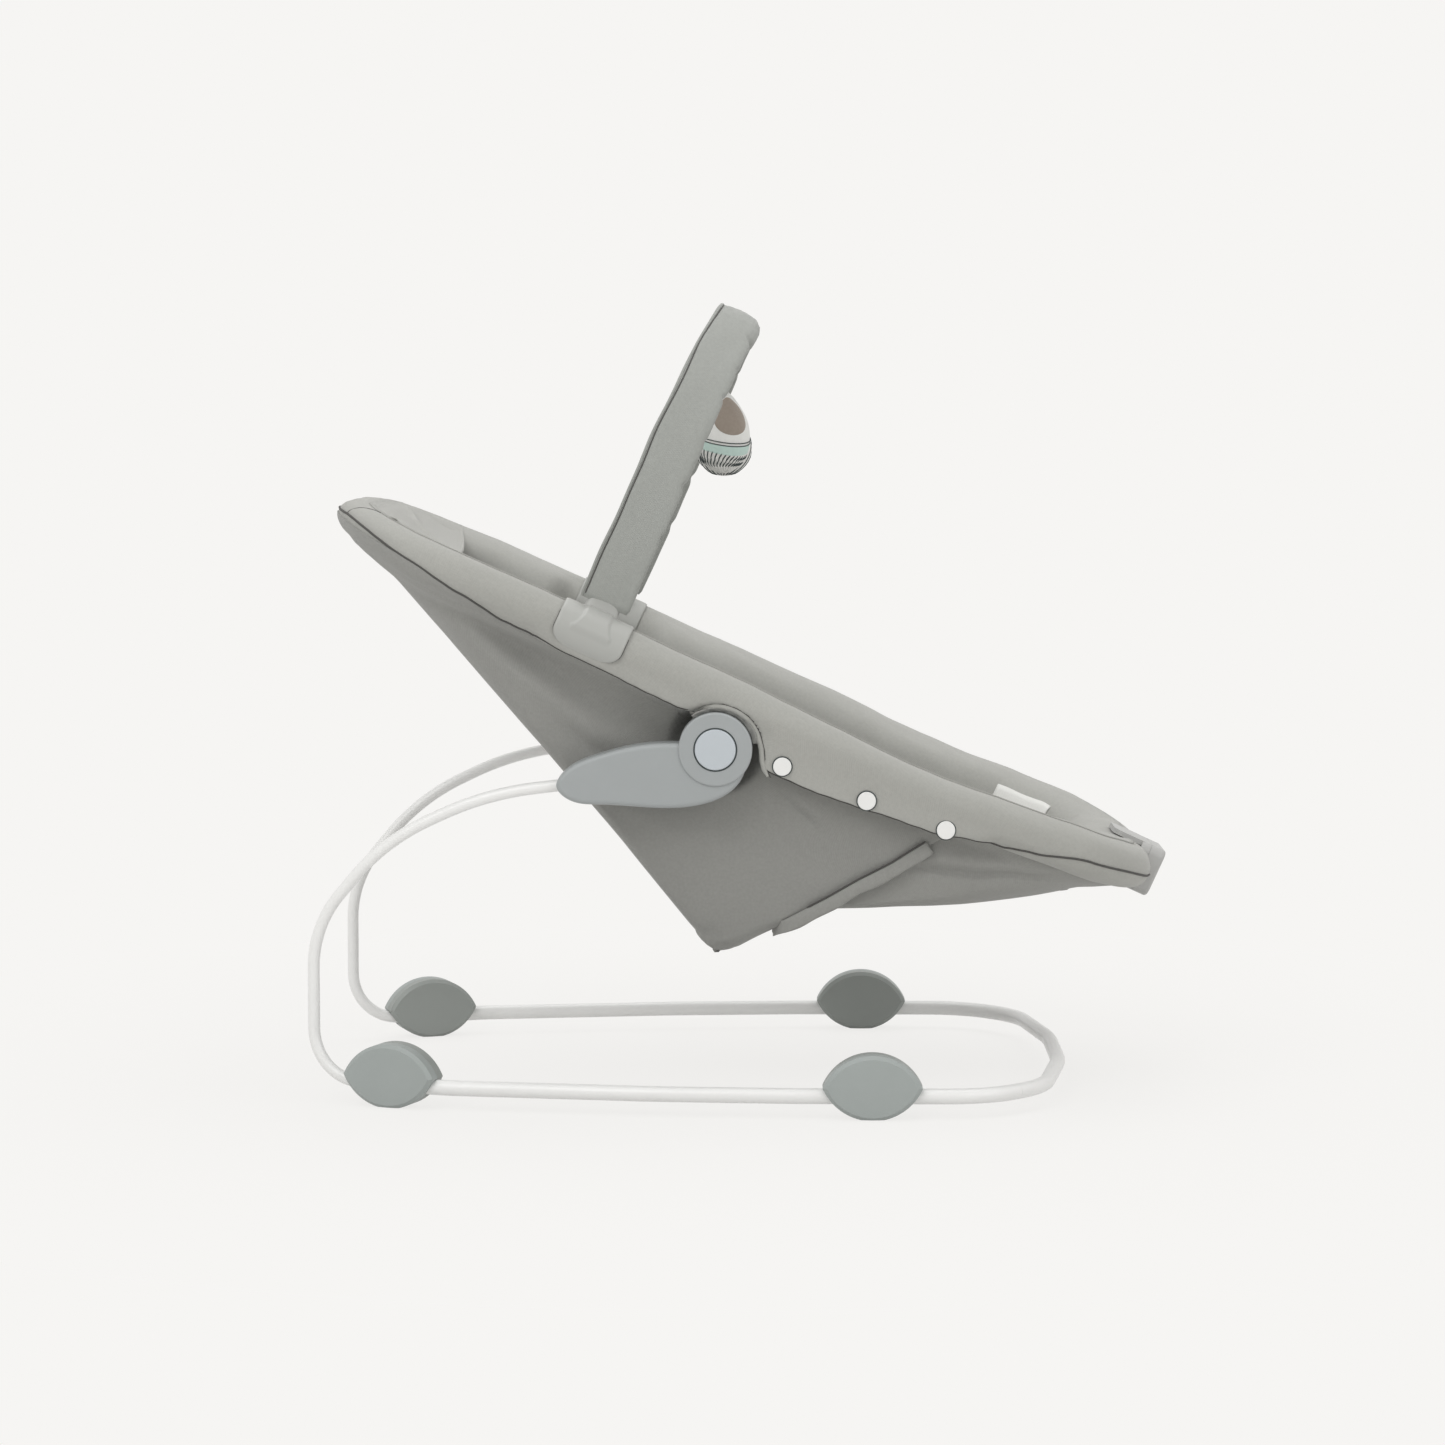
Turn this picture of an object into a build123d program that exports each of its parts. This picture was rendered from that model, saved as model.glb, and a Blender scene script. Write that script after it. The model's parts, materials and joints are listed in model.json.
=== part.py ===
from build123d import *
import math
import os

# Baby bouncer seat: a bent-tube rocking base, two arms with hub locks, a padded seat on a
# tube loop, a clip-on toy arch and a clip-on vibration unit.
# Row frame in millimetres: +Z up, floor at Z = 0, +X toward the foot end, Y = 0 the mirror plane.

# ---------------------------------------------------------------- place of the hubs and the seat
HUB_X = -22.67            # recline axis, from the middle of the part's length
HUB_Z = 300.0             # recline axis above the floor
SEAT_TILT = 24.4          # slope of the seat loop, foot end down, degrees
FIT = 0.3                 # clearance round what is pushed or clipped together
RUN = 0.05                # radial clearance of turning and sliding fits
SHIM = 0.1                # clearance between faces that lie together
PAST = 1.0                # how far a cutting shape runs past what it cuts
BEYOND = 1200.0           # size of the blocks that stand for a half space

# ---------------------------------------------------------------- seat loop, from the recline axis
LOOP_R = 8.0
LOOP_WALL = 1.5
LOOP_W = 43.0             # loop axis above the recline axis, square to the seat plane
LOOP_SIDE_Y = 176.0
HEAD_U = -354.0           # loop ends, along the seat from the recline axis
FOOT_U = 363.0
HEAD_CORNERS = ((0.0, 71.0), (69.0, 0.0))                # from the head end, and in from the side
FOOT_CORNERS = ((113.0, 0.0), (33.0, 26.0), (0.0, 76.0))  # from the foot end, and in from the side
CORNER_R = (116.0, 116.0, 220.0, 80.0, 85.0)
HALF_SEAM = 0.15          # half the seam between the loop's two halves

# ---------------------------------------------------------------- hub lugs on the loop
LUG_OUT = 0.5             # lug's outer face beyond the loop's axis
LUG_OUTER_Y = LOOP_SIDE_Y + LUG_OUT
LUG_WIDTH = 24.5
LUG_INNER_Y = LUG_OUTER_Y - LUG_WIDTH
LUG_R = 27.0
LUG_RISER = 13.0          # half width of the riser up to the loop
RISER_HIGH = LOOP_W + LOOP_R + 3.0    # top of the riser, above the recline axis
RISER_ROUND = 5.0
RISER_IN = 4.0            # riser's inner face, in from the lug's
LUG_FLOOR = 3.0

# ---------------------------------------------------------------- arms and hubs (|Y| values)
HUB_GAP = 0.5             # seat lug to arm
ARM_INNER_Y = LUG_OUTER_Y + HUB_GAP
ARM_SPLIT_Y = ARM_INNER_Y + 13.0
ARM_OUTER_Y = ARM_SPLIT_Y + 13.0
BOSS_OUTER_Y = ARM_OUTER_Y + 2.0
BOSS_R = 30.5
ARM_EDGE_FILLET = 4.0
BOSS_EDGE_FILLET = 1.6
ARM_SEAM = 0.2
LOCK_CAVITY_R = 25.0      # room behind the button
LOCK_WALL_Y = ARM_OUTER_Y - 4.0   # inner face of the boss wall
WEB_Y = ARM_SPLIT_Y - 3.0         # inner face of the web that carries the pivot bolt
ARM_POINTS = (
    (-20.0, 4.5), (-62.0, 3.5), (-100.0, -6.0), (-125.0, -19.0), (-131.5, -30.5), (-123.0, -41.0),
    (-95.0, -46.0), (-52.0, -48.5), (-12.0, -46.0), (14.0, -34.0), (26.0, -12.0),
)
ARM_SCREWS = ((-104.0, -12.0), (-60.0, -40.0))
SCREW_R = 1.5
SCREW_HEAD_R = 3.2
SCREW_HEAD = 2.0
SCREW_END = 6.0           # screw tip short of the arm's outer face
SCREW_HOLE_END = 4.0

# ---------------------------------------------------------------- recline lock in each hub
BUTTON_R = 17.0
BUTTON_GAP = 0.4
BUTTON_TOP_Y = BOSS_OUTER_Y + 1.0
BUTTON_EDGE = 1.2
BUTTON_FLANGE_R = 19.0
BUTTON_FLANGE = 2.0
LEG_RING_R = (9.5, 13.0)  # the three legs that push the gear
LEG_ANGLE = 34.0
LEG_TURNS = (90.0, 210.0, 330.0)
LEG_SINK = 1.5            # leg root inside the boss wall's plane
TEETH = 16
TOOTH_TIP_R = 20.6
TOOTH_ROOT_R = 17.6
TOOTH_GAP = 0.25
TOOTH_ROOT_SHARE = 0.8    # tooth width over pitch, at the root and at the tip
TOOTH_TIP_SHARE = 0.42
GEAR_LENGTH = 12.0
GEAR_BORE_R = 6.0
RELEASE_GAP = 0.4         # gear to the arm's toothed ring at the point of release
BOLT_R = 4.0
BOLT_HEAD_R = 7.5
BOLT_HEAD = 2.6
NUT_R = 6.5
NUT_LENGTH = 4.0
SPRING_COILS = 3
SPRING_WIRE_R = 0.7
SPRING_R = 9.0
SPRING_WEB = 2.0

# ---------------------------------------------------------------- base: rods and floor tubes
ROD_R = 5.0               # solid leg rod
TUBE_R = 6.5              # floor tube, outside
TUBE_BORE_R = ROD_R + RUN
FLOOR_TUBE_Z = 18.0       # axis of the floor tube
ARM_Y = ARM_INNER_Y + 12.0        # rod inside the arm, from the mirror plane
ROD_START_X = -86.0       # rod end inside the arm, from the hub axis
REAR_X = -337.5           # upright stretch of the rod, from the hub axis
REAR_Y = 161.0            # upright stretch, from the mirror plane
ROD_BEND_R = (245.0, 190.0, 96.0, 43.0)
RUN_X = 117.0             # run through the rear foot, along X
RUN_END_Y = 205.0
TUBE_START = 0.37         # where the tube starts on the run through the rear foot
ROD_OVERLAP = 0.70        # how far the rod reaches into the tube, on the same run
FLOOR_POINTS = ((-48.5, 231.5), (68.0, 240.0), (224.5, 240.0), (273.5, 190.0), (294.0, 60.0))
FLOOR_RADII = (100.0, 400.0, 300.0, 80.0, 96.0, 280.0)
JOINT_PIN_R = 4.8         # plug inside the front tube joints
JOINT_PIN_LENGTH = 14.0
JOINT_PIN_BACK = 0.6      # middle of the plug behind the seam
JOINT_GAP = 0.15          # seam between the side tubes and the front tube

# ---------------------------------------------------------------- leaf-shaped feet
FOOT_LENGTH = 82.0
FOOT_HALF_HEIGHT = 27.0
FOOT_CENTRE_Z = 26.0      # lower than the half height, which leaves a flat to stand on
FOOT_THICKNESS = 26.0
FOOT_CHAMFER = 3.0
FOOT_SEAM = 0.3
REAR_FOOT_ALONG = 0.585   # place on the run between rod bend and first tube bend
FRONT_FOOT_X = 129.5      # from the hub axis

# ---------------------------------------------------------------- soft seat, in seat coordinates
RIM_HALF_W = 20.5         # padded rim, half height
RIM_HALF_Y = 22.0         # padded rim, half width
RIM_W = LOOP_W - 2.0      # middle of the padded rim above the recline axis
NOTCH_R = 33.5            # cut-out of the fabric round the arm boss
FABRIC = 4.0              # quilted fabric wall
BAG_TOP_W = RIM_W - RIM_HALF_W + 0.25
BAG_TOP_Y = LOOP_SIDE_Y - 5.0
BAG_TAPER = 10.4          # side panels lean in, degrees
BAG_HOLE_R = LUG_R + 1.5  # round the hub lug
APEX = (72.0, -161.0)     # lowest line of the bag in (u, w)
KNEE = (HEAD_U + 111.0, -11.5)    # where the back panel turns up to the head end
BAG_HEAD_U = HEAD_U - 10.0
FOOT_PANEL = ((145.0, -90.0), (FOOT_U - 115.0, -38.6), (FOOT_U + 9.0, 33.0))
HEM = ((106.5, -123.4), (192.5, -1.1))
HEM_GAP = 0.6
LINER = 15.0
LINER_Y = 122.0
LINER_LENGTH = 372.0
LINER_CORNER = 70.0
LINER_EDGE = 5.0
LEG_LINER_Y = LINER_Y - 10.0
LEG_LINER_CORNER = 30.0
LEG_LINER_END = 0.75      # share of the upper foot panel that the liner covers
BACK_LOW = 30.0           # the flat parts start this far up from the bottom fold
BOARD = 3.0
BOARD_Y = 112.0
BOARD_LENGTH = 330.0
BOARD_CORNER = 30.0
FLAP = 3.0
FLAP_Y = LOOP_SIDE_Y + 16.4
FLAP_TOP_W = RIM_W - 14.0
FLAP_UW = ((44.0, FLAP_TOP_W), (47.0, -4.0), (125.0, -3.0), (190.0, 5.0), (262.0, FLAP_TOP_W))
SNAP_R = 7.6
SNAP_CAP = 2.4
SNAP_EDGE = 0.8
SNAP_UW = ((56.3, 9.5), (131.6, 12.5), (201.3, 17.5))

# ---------------------------------------------------------------- harness, on the backrest
STRAP = (25.0, 1.6)
BUCKLE = (46.0, 44.0, 11.0)
BUCKLE_CORNER = 9.0
BUCKLE_EDGE = 2.5
BUCKLE_BUTTON_R = 10.0
BUCKLE_BUTTON_RISE = 0.8
BUCKLE_WELL = 6.0
BUCKLE_TRAVEL = 2.5
TONGUE = (32.0, 22.0, 4.0)
TONGUE_CORNER = 4.0
TONGUE_SLOT = 9.6
HARNESS_X = -104.0        # up the backrest from the bottom fold
STRAP_TUCK = 4.0          # webbing's end in from the liner's edge
CROTCH_X = -34.0          # lower end of the crotch strap
LINER_TOP = FABRIC + BOARD + 2 * FIT + LINER + FIT

# ---------------------------------------------------------------- toy arch, in (y, w) at ARCH_U
ARCH_U = -133.0
ARCH_Y = LOOP_SIDE_Y - 11.0
ARCH_POINTS = ((ARCH_Y, RIM_W + 27.0), (ARCH_Y, RIM_W + 124.0), (ARCH_Y - 37.0, RIM_W + 221.0),
               (ARCH_Y - 113.0, RIM_W + 286.0))
ARCH_RADII = (255.0, 185.0, 132.0)
CORE = (26.0, 4.0)
CORE_SOCKET = 8.0         # how deep the core sits in the neck of each saddle
SLEEVE = (38.0, 12.0)
SLEEVE_ROUND = 5.4
SADDLE_LENGTH = 61.0
SADDLE_WALL = 2.8
SADDLE_LOW_W = RIM_W - 15.0
SADDLE_HEIGHT = 60.0
SADDLE_CORNER = 13.0
SADDLE_UNDERCUT = 5.0     # how far the clip's opening runs on below its legs
NECK_FOOT = (41.0, 16.0, 6.0)     # length, width and corner of the neck where it leaves the clip
NECK_TOP = (30.0, 12.0, 4.0)
NECK_FOOT_SHARE = 0.6     # height of the neck's foot, as a share of the rim's half height

# ---------------------------------------------------------------- toys
TOY_Y = 34.0
TOY_R = 25.0
TOY_HIGH = 40.32          # egg above its widest ring, and below it
TOY_LOW = 31.68
BALL_R = 25.0
RIBBON = (8.0, 1.2)
RIBBON_END = 0.1          # ribbon's end short of the toy and of the arch
TOY_DROP = (49.5, 75.4)   # from the underside of the arch to the top of each toy
TOY_BACK = 6.0            # ribbons' place on the arch, toward the head from its middle

# ---------------------------------------------------------------- vibration unit, outside the foot end
UNIT_Y = 34.0
UNIT_U = (FOOT_U + 11.5, FOOT_U + 34.0)
UNIT_W = (RIM_W - 18.0, RIM_W + 25.0)
UNIT_SPLIT_U = UNIT_U[0] + 8.5
UNIT_WALL = 2.0
UNIT_CORNER = 8.0
UNIT_EDGE = 3.0
UNIT_POCKET = 40.0        # depth of the rim's recess for the unit
LIP_REACH = 26.5          # how far the lip hooks over the rim
LIP_ROOT = 1.5
LIP_CORNER = 9.0
LIP_Y = UNIT_Y - 5.0
INNER_U = UNIT_U[0] + UNIT_WALL
BATTERY_R = 7.1
BATTERY_LENGTH = 50.0
BATTERY_PIP = (2.5, 1.0)  # radius and height of the cell's raised pole
BATTERY_U = INNER_U + BATTERY_R + FIT
BATTERY_W = UNIT_W[0] + UNIT_WALL + BATTERY_R + FIT
MOTOR_R = 5.5
MOTOR_LENGTH = 22.0
MOTOR_U = INNER_U + MOTOR_R + FIT
MOTOR_W = UNIT_W[1] - UNIT_WALL - MOTOR_R - FIT
MOTOR_Y = 4.0
SHAFT_R = 1.0
SHAFT_LENGTH = 10.0
WEIGHT_R = 4.5
WEIGHT_LENGTH = 7.0
WEIGHT_GAP = 1.0          # weight to the motor's can
WEIGHT_OVER = 1.6         # the half-round weight reaches this far past its axis
KEY = (24.0, 30.0, 1.8)   # along w, along y, raised
KEY_W = RIM_W + 5.0
KEY_CORNER = 5.0
KEY_EDGE = 0.9
KEY_FLANGE = 1.2
KEY_LAP = 1.5             # flange beyond the key on each side
DOOR = (15.0, 51.6)       # battery door in the bottom wall
DOOR_CORNER = 3.0


def place_hub(part):
    """From hub coordinates (x, y, z from the recline axis) to the row frame."""
    return Pos(HUB_X, 0, HUB_Z) * part


def place_seat(part):
    """From seat coordinates (u toward the foot, y, w square to the seat) to the row frame."""
    return Pos(HUB_X, 0, HUB_Z) * Rot(0, SEAT_TILT, 0) * part


def save(name, *parts):
    """Write one node, from one solid or a group of separate solids."""
    solids = [s for p in parts for s in p.solids()]
    shape = solids[0] if len(solids) == 1 else Compound(children=solids)
    shape.label = name
    export_step(shape, f"parts/{name}.step")


def save_pair(name, right):
    """Write the right-hand node, on -Y, and its mirror image."""
    save(f"{name}_right", right)
    save(f"{name}_left", mirror(right, about=Plane.XZ))


def save_group(name, *right):
    """Write one node with the -Y solids and their mirror images."""
    save(name, *right, *[mirror(part, about=Plane.XZ) for part in right])


def tube(path, outer, inner=0.0):
    """A round rod or tube along a path of straight runs and arcs."""
    start = Plane(origin=path @ 0, z_dir=path % 0)
    section = Circle(outer)
    if inner:
        section -= Circle(inner)
    return sweep(start * section, path=path)


def y_disc(radius, y_low, y_high):
    """A cylinder along Y on the -Y side, between two distances from the mirror plane."""
    height = y_high - y_low
    return Pos(0, -(y_low + y_high) / 2, 0) * Rot(90, 0, 0) * Cylinder(radius, height)


def y_slab(sketch, y_low, y_high):
    """An XZ outline made solid between two distances on the -Y side."""
    plane = Plane(origin=(0, -y_low, 0), x_dir=(1, 0, 0), z_dir=(0, -1, 0))
    return extrude(plane * sketch, y_high - y_low)


def half_space(point, normal):
    """A block that fills the side of a plane that its normal points to."""
    return Plane(origin=point, z_dir=normal) * Pos(0, 0, BEYOND / 2) * Box(BEYOND, BEYOND, BEYOND)


def toothed(gap=0.0):
    """The lock's outline of straight-sided teeth, grown outward by a gap for the rings round it."""
    points = []
    pitch = 2 * math.pi / TEETH
    root, tip = TOOTH_ROOT_R + gap, TOOTH_TIP_R + gap
    root_half = TOOTH_ROOT_SHARE * pitch / 2 + gap / root
    tip_half = TOOTH_TIP_SHARE * pitch / 2 + gap / tip
    for i in range(TEETH):
        middle = i * pitch
        corners = ((root, -root_half), (tip, -tip_half), (tip, tip_half), (root, root_half))
        points += [(r * math.cos(middle + turn), r * math.sin(middle + turn)) for r, turn in corners]
    return make_face(Polyline(*points, close=True))


# ================================================================= base
FLOOR_LOW = FLOOR_TUBE_Z - HUB_Z
ROD_POINTS = (
    (ROD_START_X, -ARM_Y, -26.0), (REAR_X + 147.5, 1.0 - ARM_Y, -38.2), (REAR_X + 61.1, 12.0 - ARM_Y, -79.2),
    (REAR_X, -REAR_Y - 1.0, -152.6), (REAR_X, -REAR_Y, FLOOR_LOW),
)
RUN_START = Vector(*ROD_POINTS[-1])
RUN_END = Vector(REAR_X + RUN_X, -RUN_END_Y, FLOOR_LOW)
FOOT_YAW = math.degrees(math.atan2(RUN_START.Y - RUN_END.Y, RUN_END.X - RUN_START.X))


def on_run(share):
    """A point on the straight run that rod, tube and rear foot have in common."""
    return RUN_START + (RUN_END - RUN_START) * share


def leg_rod():
    """The bent rod from inside the arm down into the floor tube."""
    path = FilletPolyline(*ROD_POINTS, tuple(on_run(ROD_OVERLAP)), radius=ROD_BEND_R)
    return place_hub(tube(path, ROD_R))


def floor_path():
    """The whole line of the floor tube, from one rear foot round the front to the other."""
    side = [tuple(on_run(TUBE_START)), tuple(RUN_END)] + [(x, -y, FLOOR_LOW) for x, y in FLOOR_POINTS]
    other = [(x, -y, z) for x, y, z in reversed(side)]
    return FilletPolyline(*side, *other, radius=[*FLOOR_RADII, *FLOOR_RADII[::-1]])


def floor_tubes():
    """Side tubes and front tube, cut at the two joints, with the plug inside each joint."""
    whole = tube(floor_path(), TUBE_R, TUBE_BORE_R)
    (x1, y1), (x2, y2) = FLOOR_POINTS[2], FLOOR_POINTS[3]
    seam = Vector((x1 + x2) / 2, -(y1 + y2) / 2, FLOOR_LOW)
    heading = Vector(x2 - x1, y1 - y2, 0).normalized()
    ahead = seam + heading * JOINT_GAP / 2
    behind = seam - heading * JOINT_GAP / 2
    front = whole & half_space(ahead, heading)
    front = front & mirror(half_space(ahead, heading), about=Plane.XZ)
    right = (whole & half_space((0, 0, 0), (0, -1, 0))) - half_space(behind, heading)
    pin_plane = Plane(origin=seam - heading * JOINT_PIN_BACK, z_dir=heading)
    pin = pin_plane * Cylinder(JOINT_PIN_R, JOINT_PIN_LENGTH)
    return place_hub(front), place_hub(right), place_hub(pin)


def leaf_foot(bore_r):
    """One leaf-shaped foot about its own centre, in an inner and an outer half."""
    half = FOOT_LENGTH / 2
    tip = FOOT_CENTRE_Z
    outline = make_face([
        ThreePointArc((-half, 0), (0, FOOT_HALF_HEIGHT), (half, 0)),
        ThreePointArc((half, 0), (0, -FOOT_HALF_HEIGHT), (-half, 0)),
    ])
    body = extrude(Plane.XZ * outline, FOOT_THICKNESS / 2, both=True)
    body = chamfer(body.faces().sort_by(Axis.Y)[0].edges(), FOOT_CHAMFER)
    body = chamfer(body.faces().sort_by(Axis.Y)[-1].edges(), FOOT_CHAMFER)
    body &= Pos(0, 0, FOOT_HALF_HEIGHT - tip) * Box(2 * half, 2 * half, 2 * FOOT_HALF_HEIGHT)
    bore = Pos(0, 0, FLOOR_TUBE_Z - tip) * Rot(0, 90, 0) * Cylinder(bore_r, 2 * half)
    body -= bore
    side = Pos(0, half, 0) * Box(2 * half, 2 * half - FOOT_SEAM, 4 * half)
    return body & side, body & mirror(side, about=Plane.XZ)


def feet():
    """The rear and the front foot of the -Y side, each as its two halves."""
    rear_at = on_run(REAR_FOOT_ALONG)
    lift = FOOT_CENTRE_Z - HUB_Z
    inner, outer = leaf_foot(TUBE_R + RUN)
    rear_place = Pos(rear_at.X, rear_at.Y, lift) * Rot(0, 0, -FOOT_YAW)
    front_place = Pos(FRONT_FOOT_X, -FLOOR_POINTS[1][1], lift)
    return [place_hub(spot * half) for spot in (rear_place, front_place) for half in (inner, outer)]


# ================================================================= arms
def arm_outline():
    """Side view of an arm: a teardrop from the rod's end to the boss round the hub."""
    drop = make_face([Spline(*ARM_POINTS), Line(ARM_POINTS[-1], ARM_POINTS[0])])
    return drop + Circle(BOSS_R)


def rod_channel():
    """The hole in the arm that the rod's end lies in."""
    path = FilletPolyline(*ROD_POINTS[:3], radius=ROD_BEND_R[0])
    start = path @ 0 - (path % 0) * PAST
    whole = tube(path, ROD_R + RUN)
    return whole + Pos(*start) * Sphere(ROD_R + RUN)


def arm_outer():
    """Outer shell: the cover with the raised boss and the button's hole."""
    shell = y_slab(arm_outline(), ARM_SPLIT_Y + ARM_SEAM, ARM_OUTER_Y)
    shell = fillet(shell.faces().sort_by(Axis.Y)[0].edges(), ARM_EDGE_FILLET)
    boss = y_disc(BOSS_R, ARM_SPLIT_Y + ARM_SEAM, BOSS_OUTER_Y)
    boss = fillet(boss.faces().sort_by(Axis.Y)[0].edges(), BOSS_EDGE_FILLET)
    shell += boss
    shell -= y_disc(LOCK_CAVITY_R, ARM_INNER_Y, LOCK_WALL_Y)
    shell -= y_disc(BUTTON_R + BUTTON_GAP, ARM_INNER_Y, BUTTON_TOP_Y)
    shell -= rod_channel()
    for x, z in ARM_SCREWS:
        shell -= Pos(x, 0, z) * y_disc(SCREW_R, ARM_INNER_Y, ARM_OUTER_Y - SCREW_HOLE_END)
    return shell


def sector(low, high, middle, half):
    """A ring's sector, between two radii, as a face; angles in degrees."""
    def at(radius, angle):
        return radius * math.cos(math.radians(angle)), radius * math.sin(math.radians(angle))

    first, last = middle - half, middle + half
    return make_face([
        ThreePointArc(at(high, first), at(high, middle), at(high, last)),
        Line(at(high, last), at(low, last)),
        ThreePointArc(at(low, last), at(low, middle), at(low, first)),
        Line(at(low, first), at(high, first)),
    ])


def leg_slots(gap):
    """Three arc-shaped prisms, the legs of the button or the slots that they pass."""
    low, high = LEG_RING_R[0] - gap, LEG_RING_R[1] + gap
    half = LEG_ANGLE / 2 + math.degrees(gap / low)
    shapes = [sector(low, high, turn, half) for turn in LEG_TURNS]
    return [y_slab(shape, LUG_OUTER_Y + 2 * SHIM, LOCK_WALL_Y - LEG_SINK) for shape in shapes]


def arm_inner():
    """Inner shell: the toothed ring, the web for the pivot bolt and the screw holes."""
    shell = y_slab(arm_outline(), ARM_INNER_Y, ARM_SPLIT_Y)
    shell = fillet(shell.faces().sort_by(Axis.Y)[-1].edges(), ARM_EDGE_FILLET / 2)
    ring = toothed(TOOTH_GAP)
    shell -= y_slab(ring, ARM_INNER_Y - PAST, WEB_Y)
    shell -= y_disc(BOLT_R + RUN, WEB_Y - PAST, ARM_SPLIT_Y + PAST)
    for slot in leg_slots(BUTTON_GAP):
        shell -= slot
    shell -= rod_channel()
    for x, z in ARM_SCREWS:
        shell -= Pos(x, 0, z) * y_disc(SCREW_R + RUN, ARM_INNER_Y - PAST, ARM_SPLIT_Y + PAST)
        shell -= Pos(x, 0, z) * y_disc(SCREW_HEAD_R + RUN, ARM_INNER_Y - PAST, ARM_INNER_Y + SCREW_HEAD)
    return shell


def arm_screws():
    """The screws that hold the two shells of an arm together."""
    shank = y_disc(SCREW_R, ARM_INNER_Y + SCREW_HEAD, ARM_OUTER_Y - SCREW_END)
    screw = shank + y_disc(SCREW_HEAD_R, ARM_INNER_Y + 2 * SHIM, ARM_INNER_Y + SCREW_HEAD)
    return [Pos(x, 0, z) * screw for x, z in ARM_SCREWS]


def pivot_bolt():
    """The bolt that carries the seat: head on the arm's web, nut inside the seat lug."""
    shaft = y_disc(BOLT_R, LUG_INNER_Y - NUT_LENGTH - PAST, ARM_SPLIT_Y + BOLT_HEAD / 2)
    return shaft + y_disc(BOLT_HEAD_R, ARM_SPLIT_Y, ARM_SPLIT_Y + BOLT_HEAD)


def pivot_nut():
    """The hexagonal nut on the bolt's end, against the lug's inner face."""
    high = LUG_INNER_Y - SHIM
    return y_slab(RegularPolygon(NUT_R, 6), high - NUT_LENGTH, high) - y_disc(BOLT_R, 0.0, ARM_Y)


def hub_button():
    """Push button: domed cap, retaining flange and three legs that reach the gear."""
    cap = y_disc(BUTTON_R, LOCK_WALL_Y - BUTTON_FLANGE, BUTTON_TOP_Y)
    cap = fillet(cap.faces().sort_by(Axis.Y)[0].edges(), BUTTON_EDGE)
    cap += y_disc(BUTTON_FLANGE_R, LOCK_WALL_Y - BUTTON_FLANGE, LOCK_WALL_Y - 2 * SHIM)
    for leg in leg_slots(0.0):
        cap += leg
    return cap


def lock_gear():
    """The toothed block that slides between the lug's cup and the arm's ring."""
    outer = ARM_INNER_Y - RELEASE_GAP
    gear = y_slab(toothed(), outer - GEAR_LENGTH, outer)
    return gear - y_disc(GEAR_BORE_R, 0.0, ARM_Y)


def lock_spring():
    """Compression spring between the gear and the floor of the lug."""
    low = LUG_INNER_Y + LUG_FLOOR + SHIM
    high = ARM_INNER_Y - RELEASE_GAP - GEAR_LENGTH - SHIM
    step = (high - low - 2 * SPRING_WIRE_R) / (SPRING_COILS - 1)
    rings = [
        Pos(0, -(low + SPRING_WIRE_R + i * step), 0) * Rot(90, 0, 0) * Torus(SPRING_R, SPRING_WIRE_R)
        for i in range(SPRING_COILS)
    ]
    bar = Rectangle(SPRING_WEB, 2 * SPRING_WIRE_R)
    for angle in (0.0, 180.0):
        web = Rot(0, angle, 0) * Pos(SPRING_R, 0, 0) * y_slab(bar, low + SPRING_WIRE_R, high - SPRING_WIRE_R)
        rings.append(web)
    spring = rings[0]
    for other in rings[1:]:
        spring += other
    return spring


# ================================================================= seat structure
def loop_wire(w):
    """The -Y half of the loop, from the head end to the foot end, as straight runs and arcs."""
    head = [(HEAD_U + along, across - LOOP_SIDE_Y, w) for along, across in HEAD_CORNERS]
    foot = [(FOOT_U - along, across - LOOP_SIDE_Y, w) for along, across in FOOT_CORNERS]
    return FilletPolyline((HEAD_U, 0, w), *head, *foot, (FOOT_U, 0, w), radius=list(CORNER_R))


def half_loop(section, w):
    """Sweep a section, given about the loop's line at height w, along the -Y half of the loop."""
    path = loop_wire(w)
    start = Plane(origin=path @ 0, x_dir=(1, 0, 0), z_dir=path % 0)
    return sweep(start * section, path=path)


def loop_tubes():
    """Head and foot halves of the loop, which meet in the hub lugs."""
    side = half_loop(Circle(LOOP_R) - Circle(LOOP_R - LOOP_WALL), LOOP_W)
    whole = side + mirror(side, about=Plane.XZ)
    head = whole & half_space((-HALF_SEAM, 0, 0), (-1, 0, 0))
    foot = whole & half_space((HALF_SEAM, 0, 0), (1, 0, 0))
    return head, foot


def hub_lug():
    """Seat side of the hub: toothed cup, riser and the saddle screwed round the loop tube."""
    lug = y_disc(LUG_R, LUG_INNER_Y, LUG_OUTER_Y)
    side_view = Pos(0, RISER_HIGH / 2) * Rectangle(2 * LUG_RISER, RISER_HIGH)
    riser = y_slab(side_view, LUG_INNER_Y + RISER_IN, LUG_OUTER_Y)
    lug += fillet(riser.edges().filter_by(Axis.Y).sort_by(Axis.Z)[-2:], RISER_ROUND)
    lug -= Pos(0, -LOOP_SIDE_Y, LOOP_W) * Rot(0, 90, 0) * Cylinder(LOOP_R + RUN, 4 * LUG_RISER)
    ring = toothed(TOOTH_GAP)
    lug -= y_slab(ring, LUG_INNER_Y + LUG_FLOOR, LUG_OUTER_Y + PAST)
    lug -= y_disc(BOLT_R + RUN, LUG_INNER_Y - PAST, LUG_OUTER_Y)
    return lug


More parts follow.
